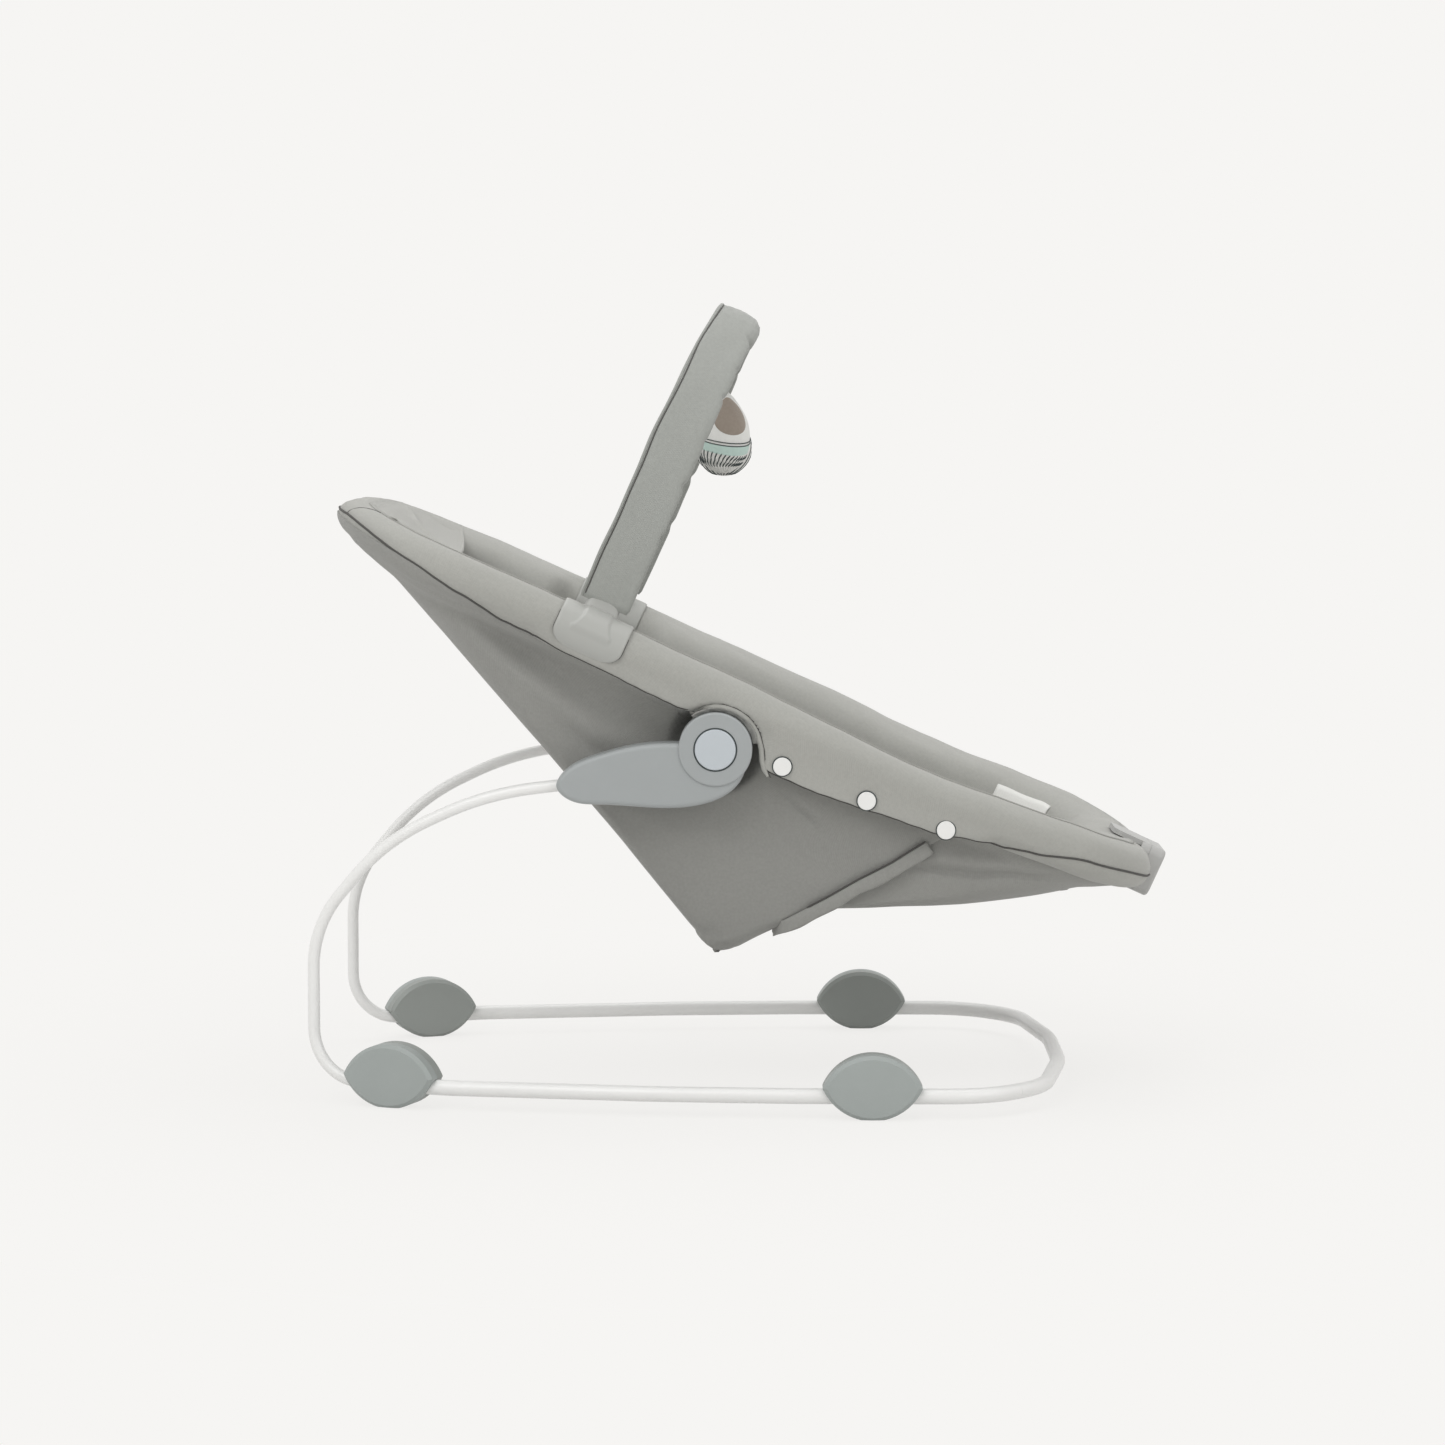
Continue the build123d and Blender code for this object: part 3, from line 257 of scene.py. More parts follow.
def smooth_out(piece: Piece, levels: int = 1) -> None:
    """Finish a piece with subdivision, as many levels in a render as in a view."""
    sub = piece.modifiers.new("smooth", "SUBSURF")
    sub.levels = sub.render_levels = levels


def bump(x: float, width: float) -> float:
    """A soft hump of height 1 at 0 that fades over width."""
    return math.exp(-(x / width) ** 2)


def drift(x: float, y: float, z: float) -> float:
    """Smooth random rise and fall, about -1 to 1, at a point of its own space."""
    return noise.noise(Vector((x, y, z)))


def ease(x: float) -> float:
    """Smooth step from 0 to 1 as x goes from 0 to 1."""
    x = max(0.0, min(1.0, x))
    return x * x * (3 - 2 * x)


def cord_skin(name: str, points: Sequence[Vector], radius: float, closed: bool = False,
              around: int = 8) -> Piece:
    """A thin round skin along points, for piping, stitch lines and dark lines of painted shadow.

    Args:
        name: Name of the new piece.
        points: The line that it follows.
        radius: Half its thickness, in metres.
        closed: Whether the ends meet.
        around: Divisions round it.

    Returns:
        The new object.
    """
    count = len(points)
    frames: list[tuple[Vector, Vector]] = []
    side = None
    for i, point in enumerate(points):
        ahead = points[(i + 1) % count] if closed or i < count - 1 else point
        behind = points[i - 1] if closed or i > 0 else point
        run = (ahead - behind).normalized()
        if side is None:
            side = run.orthogonal().normalized()
        side = (side - run * side.dot(run)).normalized()
        frames.append((side.copy(), run.cross(side)))

    def place(along: float, turn: float) -> Vector:
        """A point of the skin, at a share of the line and of a turn round it."""
        step = min(round(along * rows), rows)
        i = step % count
        a, b = frames[i]
        angle = turn * math.tau
        fade = 1.0 if closed or 0 < step < rows else 0.55
        return points[i] + (a * math.cos(angle) + b * math.sin(angle)) * radius * fade

    rows = count if closed else count - 1
    return patch(name, rows, around, place, (rows * 0.004, radius * 6))


# ------------------------------------------------------------------ finishes
class Nodes:
    """A short hand for building one material's or group's node tree."""

    def __init__(self, tree: Tree) -> None:
        """Start with the tree that the nodes go into."""
        self.tree = tree

    def add(self, kind: str, **values: object) -> Node:
        """Add a node and set its properties.

        Args:
            kind: Blender's name of the node type.
            **values: Properties to set on it.

        Returns:
            The node.
        """
        node = self.tree.nodes.new(kind)
        for name, value in values.items():
            setattr(node, name, value)
        return node

    def wire(self, start: Socket, end: Socket) -> None:
        """Join two sockets."""
        self.tree.links.new(start, end)

    def sum(self, operation: str, first: object, second: object = 0.0,
            third: Optional[object] = None) -> Socket:
        """A Math node on sockets or numbers.

        Args:
            operation: Blender's name of the operation.
            first: First input.
            second: Second input.
            third: Third input, where the operation has one.

        Returns:
            Its output socket.
        """
        node = self.add("ShaderNodeMath", operation=operation)
        for index, value in enumerate((first, second, third)):
            if value is None:
                continue
            if isinstance(value, Socket):
                self.wire(value, node.inputs[index])
            else:
                node.inputs[index].default_value = value
        return node.outputs[0]

    def blend(self, share: object, low: object, high: object) -> Socket:
        """Mix two colours.

        Args:
            share: Share of the second colour, a socket or a number.
            low: The first colour, a socket or a colour.
            high: The second.

        Returns:
            The mixed colour.
        """
        node = self.add("ShaderNodeMix", data_type="RGBA")
        for socket, value in ((node.inputs[0], share), (node.inputs[6], low), (node.inputs[7], high)):
            if isinstance(value, Socket):
                self.wire(value, socket)
            elif isinstance(value, tuple):
                socket.default_value = (*value, 1.0)
            else:
                socket.default_value = value
        return node.outputs[2]


def new_group(name: str, inputs: Sequence[tuple[str, str, object]],
              outputs: Sequence[tuple[str, str]]) -> tuple[Tree, Nodes, Node, Node]:
    """Start a shader node group with named sockets.

    Args:
        name: The group's name.
        inputs: Name, socket type and default value of each input.
        outputs: Name and socket type of each output.

    Returns:
        The tree, its builder, and its input and output nodes.
    """
    tree = bpy.data.node_groups.new(name, "ShaderNodeTree")
    for label, kind, value in inputs:
        socket = tree.interface.new_socket(label, in_out="INPUT", socket_type=kind)
        if value is not None:
            socket.default_value = value
    for label, kind in outputs:
        tree.interface.new_socket(label, in_out="OUTPUT", socket_type=kind)
    nodes = Nodes(tree)
    return tree, nodes, nodes.add("NodeGroupInput"), nodes.add("NodeGroupOutput")


def weave_group() -> Tree:
    """Plain weave: threads that cross over and under, with slubs and cloudy fading.

    Returns:
        The group, which puts out a height, a thread mask and a cloudy mask.
    """
    tree, n, start, end = new_group(
        "Plain weave",
        [("Cloth", "NodeSocketVector", None), ("Place", "NodeSocketVector", None),
         ("Pitch", "NodeSocketFloat", 0.0009), ("Cloud", "NodeSocketFloat", 9.0)],
        [("Height", "NodeSocketFloat"), ("Thread", "NodeSocketFloat"), ("Cloudy", "NodeSocketFloat")])
    split = n.add("ShaderNodeSeparateXYZ")
    n.wire(start.outputs["Cloth"], split.inputs[0])
    turns = n.sum("DIVIDE", math.pi, start.outputs["Pitch"])
    warp = n.sum("SINE", n.sum("MULTIPLY", split.outputs[0], turns))
    weft = n.sum("SINE", n.sum("MULTIPLY", split.outputs[1], turns))
    cross = n.sum("MULTIPLY", warp, weft)
    slub = n.add("ShaderNodeTexNoise")
    slub.inputs["Scale"].default_value = 420.0
    slub.inputs["Detail"].default_value = 3.0
    n.wire(start.outputs["Place"], slub.inputs["Vector"])
    height = n.sum("MULTIPLY_ADD", cross, 0.5, n.sum("MULTIPLY", slub.outputs[0], 0.7))
    cloud = n.add("ShaderNodeTexNoise")
    cloud.inputs["Detail"].default_value = 4.0
    cloud.inputs["Roughness"].default_value = 0.6
    n.wire(start.outputs["Cloud"], cloud.inputs["Scale"])
    n.wire(start.outputs["Place"], cloud.inputs["Vector"])
    n.wire(height, end.inputs["Height"])
    n.wire(n.sum("MULTIPLY_ADD", cross, 0.25, slub.outputs[0]), end.inputs["Thread"])
    n.wire(cloud.outputs[0], end.inputs["Cloudy"])
    return tree


def mould_group() -> Tree:
    """Moulded grain: fine spark texture, slow waves of the surface and light rubbing.

    Returns:
        The group, which puts out a height and a rubbed mask.
    """
    tree, n, start, end = new_group(
        "Moulded grain",
        [("Place", "NodeSocketVector", None), ("Grain", "NodeSocketFloat", 900.0),
         ("Rub", "NodeSocketFloat", 30.0)],
        [("Height", "NodeSocketFloat"), ("Rubbed", "NodeSocketFloat")])
    fine, slow, rub = (n.add("ShaderNodeTexNoise") for _ in range(3))
    n.wire(start.outputs["Grain"], fine.inputs["Scale"])
    slow.inputs["Scale"].default_value = 14.0
    n.wire(start.outputs["Rub"], rub.inputs["Scale"])
    rub.inputs["Detail"].default_value = 6.0
    rub.inputs["Roughness"].default_value = 0.7
    for texture in (fine, slow, rub):
        n.wire(start.outputs["Place"], texture.inputs["Vector"])
    n.wire(n.sum("MULTIPLY_ADD", fine.outputs[0], 0.5, slow.outputs[0]), end.inputs["Height"])
    ramp = n.add("ShaderNodeMapRange")
    ramp.inputs["From Min"].default_value, ramp.inputs["From Max"].default_value = 0.42, 0.72
    n.wire(rub.outputs[0], ramp.inputs["Value"])
    n.wire(ramp.outputs[0], end.inputs["Rubbed"])
    return tree


WEAVE = weave_group()
MOULD = mould_group()


def shader(name: str) -> tuple[bpy.types.Material, Nodes, Node, Node]:
    """Start a material with a Principled surface.

    Args:
        name: The material's name.

    Returns:
        The material, its builder, the Principled node and the Texture Coordinate node.
    """
    material = bpy.data.materials.new(name)
    material.use_nodes = True
    n = Nodes(material.node_tree)
    surface = material.node_tree.nodes["Principled BSDF"]
    return material, n, surface, n.add("ShaderNodeTexCoord")


def relief(n: Nodes, height: Socket, distance: float, strength: float, surface: Node) -> None:
    """Bump a surface by a height.

    Args:
        n: The material's builder.
        height: The height, about 0 to 1.
        distance: Metres between a height of 0 and of 1.
        strength: How much of it shows.
        surface: The Principled node.
    """
    node = n.add("ShaderNodeBump")
    node.inputs["Distance"].default_value = distance
    node.inputs["Strength"].default_value = strength
    n.wire(height, node.inputs["Height"])
    n.wire(node.outputs[0], surface.inputs["Normal"])


@dataclass(frozen=True)
class Cloth:
    """A woven cloth: its colour, how its threads differ, and its sheen."""

    name: str
    colour: Colour
    dark: float = 0.86
    pitch: float = 0.0009
    sheen: float = 0.25
    rough: float = 0.86
    depth: float = 0.00025

    def material(self) -> bpy.types.Material:
        """Build the cloth's material."""
        made, n, surface, coords = shader(self.name)
        weave = n.add("ShaderNodeGroup", node_tree=WEAVE)
        n.wire(coords.outputs["UV"], weave.inputs["Cloth"])
        n.wire(coords.outputs["Object"], weave.inputs["Place"])
        weave.inputs["Pitch"].default_value = self.pitch
        weave.inputs["Cloud"].default_value = 9.0
        shade = tuple(c * self.dark for c in self.colour)
        pale = tuple(min(1.0, c * (2 - self.dark)) for c in self.colour)
        threads = n.blend(weave.outputs["Thread"], shade, pale)
        cloudy = tuple(c * 0.93 for c in self.colour)
        n.wire(n.blend(n.sum("MULTIPLY", weave.outputs["Cloudy"], 0.5), threads, cloudy),
               surface.inputs["Base Color"])
        n.wire(n.sum("MULTIPLY_ADD", weave.outputs["Cloudy"], 0.12, self.rough - 0.06),
               surface.inputs["Roughness"])
        surface.inputs["Sheen Weight"].default_value = self.sheen
        surface.inputs["Sheen Roughness"].default_value = 0.5
        surface.inputs["Specular IOR Level"].default_value = 0.25
        relief(n, weave.outputs["Height"], self.depth, 0.55, surface)
        return made


@dataclass(frozen=True)
class Plastic:
    """A moulded plastic: colour, gloss and grain."""

    name: str
    colour: Colour
    rough: float = 0.42
    grain: float = 900.0
    depth: float = 0.00006
    rubbed: float = 1.06

    def material(self) -> bpy.types.Material:
        """Build the plastic's material."""
        made, n, surface, coords = shader(self.name)
        mould = n.add("ShaderNodeGroup", node_tree=MOULD)
        n.wire(coords.outputs["Object"], mould.inputs["Place"])
        mould.inputs["Grain"].default_value = self.grain
        worn = tuple(min(1.0, c * self.rubbed) for c in self.colour)
        n.wire(n.blend(n.sum("MULTIPLY", mould.outputs["Rubbed"], 0.5), self.colour, worn),
               surface.inputs["Base Color"])
        n.wire(n.sum("MULTIPLY_ADD", mould.outputs["Rubbed"], 0.10, self.rough), surface.inputs["Roughness"])
        relief(n, mould.outputs["Height"], self.depth, 0.5, surface)
        return made


@dataclass(frozen=True)
class Metal:
    """A metal, bare or under paint."""

    name: str
    colour: Colour
    rough: float = 0.3
    metallic: float = 1.0
    coat: float = 0.0

    def material(self) -> bpy.types.Material:
        """Build the metal's material."""
        made, n, surface, coords = shader(self.name)
        mould = n.add("ShaderNodeGroup", node_tree=MOULD)
        n.wire(coords.outputs["Object"], mould.inputs["Place"])
        mould.inputs["Grain"].default_value = 420.0
        worn = tuple(c * 0.95 for c in self.colour)
        n.wire(n.blend(n.sum("MULTIPLY", mould.outputs["Rubbed"], 0.35), self.colour, worn),
               surface.inputs["Base Color"])
        n.wire(n.sum("MULTIPLY_ADD", mould.outputs["Rubbed"], 0.08, self.rough), surface.inputs["Roughness"])
        surface.inputs["Metallic"].default_value = self.metallic
        surface.inputs["Coat Weight"].default_value = self.coat
        surface.inputs["Coat Roughness"].default_value = 0.12
        relief(n, mould.outputs["Height"], 0.00001, 0.12, surface)
        return made


FINISHES: dict[str, Cloth | Plastic | Metal] = {
    "white_enamel": Metal("White enamel", (0.84, 0.84, 0.83), 0.34, 0.0, 0.25),
    "loop_enamel": Metal("Loop enamel", (0.74, 0.74, 0.72), 0.4, 0.0, 0.1),
    "foot_outer_plastic": Plastic("Foot plastic, outer", (0.345, 0.375, 0.365), 0.45),
    # The feet's inner halves get a darker copy of the foot plastic: painted shade for the shade on their
    # inner faces.
    "foot_inner_plastic": Plastic("Foot plastic, inner", (0.300, 0.320, 0.305), 0.45),
    "arm_plastic": Plastic("Arm plastic", (0.345, 0.365, 0.368), 0.40),
    "steel": Metal("Bright steel", (0.60, 0.60, 0.60), 0.28),
    "button_plastic": Plastic("Button plastic", (0.50, 0.54, 0.57), 0.36),
    "lock_plastic": Plastic("Lock nylon", (0.20, 0.205, 0.21), 0.5),
    "rim_fabric": Cloth("Rim cloth", (0.385, 0.385, 0.360)),
    "bag_fabric": Cloth("Bag cloth", (0.300, 0.300, 0.284)),
    "liner_fabric": Cloth("Liner cloth", (0.400, 0.400, 0.376)),
    "board_plastic": Plastic("Board sheet", (0.10, 0.10, 0.10), 0.55),
    "snap_plastic": Plastic("Snap plastic", (0.80, 0.80, 0.785), 0.30, 1500.0),
    "webbing": Cloth("Webbing", (0.28, 0.285, 0.28), 0.72, 0.0016, 0.15, 0.8, 0.0004),
    "buckle_plastic": Plastic("Buckle plastic", (0.20, 0.205, 0.205), 0.42),
    "core_plastic": Plastic("Core plastic", (0.40, 0.40, 0.40), 0.45),
    "sleeve_fabric": Cloth("Sleeve cloth", (0.335, 0.345, 0.325)),
    "saddle_plastic": Plastic("Saddle plastic", (0.400, 0.405, 0.385), 0.40),
    "toy_plush": Cloth("Toy cotton", (0.80, 0.80, 0.775), 0.94, 0.0008, 0.3),
    "ribbon": Cloth("Twill tape", (0.66, 0.66, 0.63), 0.85, 0.0007),
    "unit_plastic": Plastic("Unit plastic", (0.42, 0.42, 0.41), 0.42),
    "key_plastic": Plastic("Key plastic", (0.55, 0.55, 0.55), 0.35),
    "cell": Metal("Sleeved cell", (0.12, 0.13, 0.14), 0.4, 0.3),
    "brass": Metal("Turned brass", (0.62, 0.47, 0.2), 0.3),
    # Dark cord finish: real piping and seam lines, and painted shadow where its cords lie in gaps, grooves
    # and under edges.
    "piping and painted shadow": Cloth("Piping and painted shadow", (0.085, 0.083, 0.078), 0.8, 0.0009, 0.1),
    "mint": Cloth("Mint cotton", (0.56, 0.71, 0.66), 0.9, 0.0008, 0.2),
    "taupe": Cloth("Taupe felt", (0.33, 0.28, 0.235), 0.85, 0.0008, 0.3),
    # Dark print on the toys; the same dark cloth also paints shade in the rings round the snap caps and the
    # hub's button.
    "ink_and_painted_shade": Cloth("Dark print and painted shade", (0.06, 0.075, 0.075), 0.9, 0.0008, 0.1),
}


class Wardrobe:
    """The built materials, one for each finish."""

    def __init__(self) -> None:
        """Build every finish once."""
        self.built = {name: finish.material() for name, finish in FINISHES.items()}

    def dress(self, piece: Piece, finish: str) -> None:
        """Give a piece one finish all over."""
        piece.data.materials.clear()
        piece.data.materials.append(self.built[finish])

    def dress_frame(self) -> None:
        """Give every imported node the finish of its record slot."""
        slots = {part["node"]: part["material_slot"] for part in frame["record"]["subparts"]}
        for node, piece in frame["nodes"].items():
            for index in range(len(piece.material_slots)):
                piece.material_slots[index].material = self.built[slots[node]]
            LOG.info("%s: %s", node, slots[node])


@dataclass
class Sewing:
    """What every soft piece shares: the seat's planes, the loop and the materials."""

    seat: SeatPlane
    loop: Loop
    wardrobe: Wardrobe

    def hand_over(self, piece: Piece, body: str, finish: str, slot: str, nodes: Sequence[str] = ()) -> Piece:
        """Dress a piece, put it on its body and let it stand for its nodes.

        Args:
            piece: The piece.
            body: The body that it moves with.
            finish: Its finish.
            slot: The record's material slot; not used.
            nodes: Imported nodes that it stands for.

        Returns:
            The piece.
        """
        self.wardrobe.dress(piece, finish)
        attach(piece, body)
        if nodes:
            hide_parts(*nodes)
        LOG.info("%s rides on %s", piece.name, body)
        return piece

    def thread(self, name: str, points: Sequence[Vector], radius: float, body: str, finish: str, slot: str,
               closed: bool = False, around: int = 6) -> None:
        """Sew a thin round line, such as piping, a welt, a stripe or a dark line of painted shadow.

        Args:
            name: Name of the piece.
            points: The line that it follows.
            radius: Half its thickness, in metres.
            body: The body that it moves with.
            finish: Its finish.
            slot: The record's material slot.
            closed: Whether the ends meet.
            around: Divisions round it.
        """
        self.hand_over(cord_skin(name, points, radius, closed, around), body, finish, slot)


# ------------------------------------------------------------------ the padded rim
def point_on(line: Table, share: float) -> tuple[float, float]:
    """The place on a line of points at a share of its steps.

    Args:
        line: The points.
        share: 0 at the first point to 1 at the last.

    Returns:
        The two values, straight between points.
    """
    k = share * (len(line) - 1)
    j = min(int(k), len(line) - 2)
    a, b = (line[j][n] + (line[j + 1][n] - line[j][n]) * (k - j) for n in range(2))
    return a, b


def outward(run: Vector, point: Vector) -> Vector:
    """The way out of an outline, square to its run, or sideways where it has none."""
    if run.length > 1e-7:
        return Vector((run.y, -run.x)).normalized()
    return Vector((0, math.copysign(1, point.y)))


def between(table: Table, x: float) -> float:
    """Smooth value of a table of (x, value) pairs.

    Args:
        table: The pairs, by rising x.
        x: Where to read it.

    Returns:
        The value, held at both ends.
    """
    if x <= table[0][0]:
        return table[0][1]
    for (x0, v0), (x1, v1) in zip(table, table[1:]):
        if x <= x1:
            return v0 + (v1 - v0) * ease((x - x0) / (x1 - x0)) * 0.5 + (v1 - v0) * (x - x0) / (x1 - x0) * 0.5
    return table[-1][1]


@dataclass
class PaddedRim:
    """The padded fabric rim, its seams, and its cut-outs round the hubs."""

    sewing: Sewing
    half_out: float = 0.0215
    side_y: float = 0.176
    flap_out: float = 0.0188
    saddle_u: float = -0.1335
    notch_floor: float = 0.1768
    notch_edge: float = 0.005
    notch: Table = (
        (-0.35, 0.0392), (0.17, 0.0372), (0.63, 0.0345), (1.05, 0.0340), (1.57, 0.0330), (2.65, 0.0326))
    welt_and_shadow_break: float = 0.0375
    fold_at: int = 52
    hem_corner: Table = ((0.0365, 0.0120), (0.0398, 0.0060), (0.0440, 0.0010), (0.0490, -0.0030))
    button_shade_ring: tuple[float, float] = (0.01775, 0.2050)
    snap_shade_ring: tuple[float, float] = (0.0080, 0.1957)
    snaps: Table = ((0.0563, 0.0095), (0.1316, 0.0125), (0.2013, 0.0175))
    columns: int = 640
    rows: int = 56
    crest_near: Table = (
        (-0.380, 0.0550), (-0.365, 0.0572), (-0.340, 0.0582), (-0.290, 0.0580), (-0.225, 0.0588),
        (-0.133, 0.0600), (-0.085, 0.0590), (-0.030, 0.0590), (0.0, 0.0583), (0.037, 0.0568),
        (0.080, 0.0553), (0.140, 0.0540), (0.185, 0.0542), (0.235, 0.0583), (0.280, 0.0607),
        (0.315, 0.0636), (0.345, 0.0645), (0.372, 0.0640))
    crest_far: Table = (
        (-0.365, 0.0565), (-0.340, 0.0575), (-0.300, 0.0575), (-0.250, 0.0590), (-0.133, 0.0600),
        (-0.045, 0.0590), (0.016, 0.0600), (0.110, 0.0595), (0.150, 0.0578), (0.209, 0.0580),
        (0.270, 0.0625), (0.320, 0.0655), (0.345, 0.0645))
    belly: Table = (
        (-0.375, 0.0295), (-0.350, 0.0285), (-0.320, 0.0245), (-0.280, 0.0207), (0.25, 0.0207),
        (0.32, 0.0240), (0.36, 0.0262))
    seam: Table = (
        (-0.380, 0.0420), (-0.362, 0.0435), (-0.343, 0.0457), (-0.2865, 0.0369), (-0.246, 0.0300),
        (-0.197, 0.0227), (-0.146, 0.0168), (-0.106, 0.0165), (-0.074, 0.0154), (-0.044, 0.0150),
        (-0.028, 0.0170), (0.0, 0.0205), (0.030, 0.0165), (0.0455, -0.0024), (0.083, -0.0024),
        (0.124, 0.0012), (0.157, 0.0050), (0.194, 0.0078), (0.225, 0.0156), (0.268, 0.0289),
        (0.314, 0.0412), (0.346, 0.0450), (0.375, 0.0455))

    def crest(self, u: float, y: float) -> float:
        """Height of the tube's top, lower where the unit's lip hooks on."""
        far = ease((y + 0.06) / 0.12)
        top = between(self.crest_near, u) * (1 - far) + between(self.crest_far, u) * far
        clip = ease((0.060 - abs(y)) / 0.03) * ease((u - 0.30) / 0.03)
        return top - max(0.0, top - 0.0605) * clip

    def core(self, u: float, y: float) -> float:
        """Height of the tube's middle."""
        return (self.crest(u, y) + between(self.belly, u)) / 2

    def tall(self, u: float, y: float) -> float:
        """Half the tube's height."""
        return (self.crest(u, y) - between(self.belly, u)) / 2

    def skirt(self, u: float) -> float:
        """How far the outer wall hangs below the round of the tube."""
        return max(0.0, between(self.belly, u) - between(self.seam, u))

    def turn_at(self, u: float) -> float:
        """Angle round the tube where the lower seam runs."""
        drop = (between(self.seam, u) - self.core(u, -0.17)) / self.tall(u, -0.17)
        return math.asin(max(-0.85, min(0.9, drop)))

    def surface(self, station: Station, turn: float, lift: float = 0.0, plain: bool = False) -> Vector:
        """Point of the rim's skin in seat coordinates.

        Args:
            station: Place on the loop.
            turn: Angle round the tube, 0 outwards and 90 degrees upwards.
            lift: Metres outside the skin.
            plain: Leave out the skirt, for the cloth behind it.

        Returns:
            The point (u, y, w) in seat coordinates.
        """
        turn = (turn + math.pi) % math.tau - math.pi
        around = station.run
        fold = drift(around * 15, math.cos(turn) * 1.3, math.sin(turn) * 1.3)
        small = drift(around * 60 + 9, math.cos(turn) * 2.6, math.sin(turn) * 2.6)
        seam_turn = self.turn_at(station.u)
        near = bump(turn - seam_turn, 0.45)
        saddle = bump((station.u - self.saddle_u) / 0.036, 1.0) ** 2 if abs(station.y) > 0.15 else 0.0
        swell = (0.0011 * fold * (1 - 0.7 * near) + 0.0003 * small) * (1 - saddle) - 0.0006 * saddle
        pucker = 0.00018 * near * math.sin(around * math.tau / 0.019 + 5 * fold) * (1 - saddle)
        top_seam = -0.0009 * bump(turn - math.radians(128), 0.09)
        reach = lift + swell + pucker + top_seam
        half_up = self.tall(station.u, station.y)
        out = (self.half_out - 0.0008 * ease((-0.33 - station.u) / 0.02) + reach) * math.cos(turn)
        up = (half_up + reach) * math.sin(turn)
        hang = 0.0 if plain else self.skirt(station.u)
        if hang > 0 and -math.pi / 2 < turn < 0:
            degrees, fold_at = -math.degrees(turn), self.fold_at
            upper = degrees < fold_at
            if upper:
                hat = math.sin(math.radians(degrees / fold_at * 90))
            else:
                hat = math.cos(math.radians((degrees - fold_at) / (90 - fold_at) * 90))
            up -= hang * hat + 0.3 * half_up * hat * min(1.0, hang / 0.012) * upper * (1 - degrees / fold_at)
            full = min(1.0, hang / 0.006)
            wall_out = 0.0191 + 0.0010 * (1 - hat) + reach
            if upper:
                out = out + (wall_out - out) * full * ease(degrees / 22)
            else:
                out = out + (wall_out - 0.0042 - out) * full * max(0.0, hat) ** 0.7
        u, y = station.u + station.out.x * out, station.y + station.out.y * out
        return self.clear_hub(Vector((u, y, self.core(station.u, station.y) + up)))

    def notch_at(self, angle: float) -> float:
        """Radius of the cut-out round the boss, wider towards the foot."""
        return between(self.notch, angle)

    def clear_hub(self, point: Vector) -> Vector:
        """Draw the skin in behind the arm, with a rolled edge round the boss."""
        away = math.hypot(point.x, point.z)
        notch = self.notch_at(math.atan2(point.z, point.x))
        if abs(point.y) <= self.notch_floor or away > notch + self.notch_edge:
            return point
        edge = ease((away - notch) / self.notch_edge)
        y = math.copysign(self.notch_floor + (abs(point.y) - self.notch_floor) * edge, point.y)
        return Vector((point.x, y, point.z))

    def make(self) -> None:
        """Sew the rim, its piping, and the dark cords and rings that paint shadow in its seams and gaps."""
        stations = self.sewing.loop.stations(self.columns)
        seat = self.sewing.seat
        turns = [math.radians(-180 + 360 * self.crowd(row / self.rows)) for row in range(self.rows)]

        def place(along: float, turn: float) -> Vector:
            """A point of the rim, at shares of the loop and of a turn round the tube."""
            station = stations[round(along * self.columns) % self.columns]
            return seat.at(*self.surface(station, turns[round(turn * self.rows) % self.rows]))

        rim = patch("padded_rim", self.columns, self.rows, place, (2.05, 0.133))
        self.sewing.hand_over(rim, "seat", "rim_fabric", "rim_fabric", ["rim_pad", "side_flaps"])
        self.seams(stations)
        for side in Side:
            self.notch_roll(side)
            self.shade_rings(side)

    @staticmethod
    def crowd(share: float) -> float:
        """Shares of a full turn, closer together in the lower outer quarter."""
        if share < 0.2:
            return share / 0.2 * 0.25
        if share < 0.56:
            return 0.25 + (share - 0.2) / 0.36 * 0.25
        return 0.5 + (share - 0.56) / 0.44 * 0.5

    def edge_turn(self, u: float) -> float:
        """Angle of the visible lower edge: the seam, or the skirt's fold."""
        return math.radians(-53) if self.skirt(u) > 0.0005 else self.turn_at(u)

    def seams(self, stations: Sequence[Station]) -> None:
        """Lay the dark cord along the lower seam, broken at the hubs: partly piping, partly painted shadow of
        the gap where the bag tucks under the rim.
        """
        seat = self.sewing.seat
        runs: list[list[Vector]] = [[]]
        for s in stations + stations[:1]:
            point = self.surface(s, self.edge_turn(s.u), 0.0002)
            if math.hypot(point.x, point.z) < self.welt_and_shadow_break or (abs(s.u) < 0.034 and abs(point.y) < 0.19):
                if runs[-1]:
                    runs.append([])
                continue
            runs[-1].append(seat.at(*point))
        # Dark cord: piping, and painted shadow of the gap under the rim.
        for index, run in enumerate(r for r in runs if len(r) > 3):
            self.sewing.thread(f"rim_lower_welt_and_shadow_{index}", run, 0.0010, "seat", "piping and painted shadow", "rim_fabric")

    def notch_roll(self, side: Side) -> None:
        """Roll the hem round the boss and down to the flap's corner."""
        seat = self.sewing.seat
        line: list[Vector] = []
        for step in range(27):
            angle = math.radians(152 - step * 4.9)
            away = self.notch_at(angle) + 0.0022
            line.append(Vector((away * math.cos(angle), away * math.sin(angle))))
        line += [Vector(corner) for corner in self.hem_corner]

        def stand_out(p: Vector) -> float:
            """How far the padding stands out at a point of the line."""
            share = max(-1.0, min(1.0, (p.y - self.core(p.x, 0.17)) / self.tall(p.x, -0.17)))
            padding = self.half_out * math.sqrt(max(0.0, 1 - share * share))
            return max(padding, self.flap_out if p.x > 0.02 else 0.0)

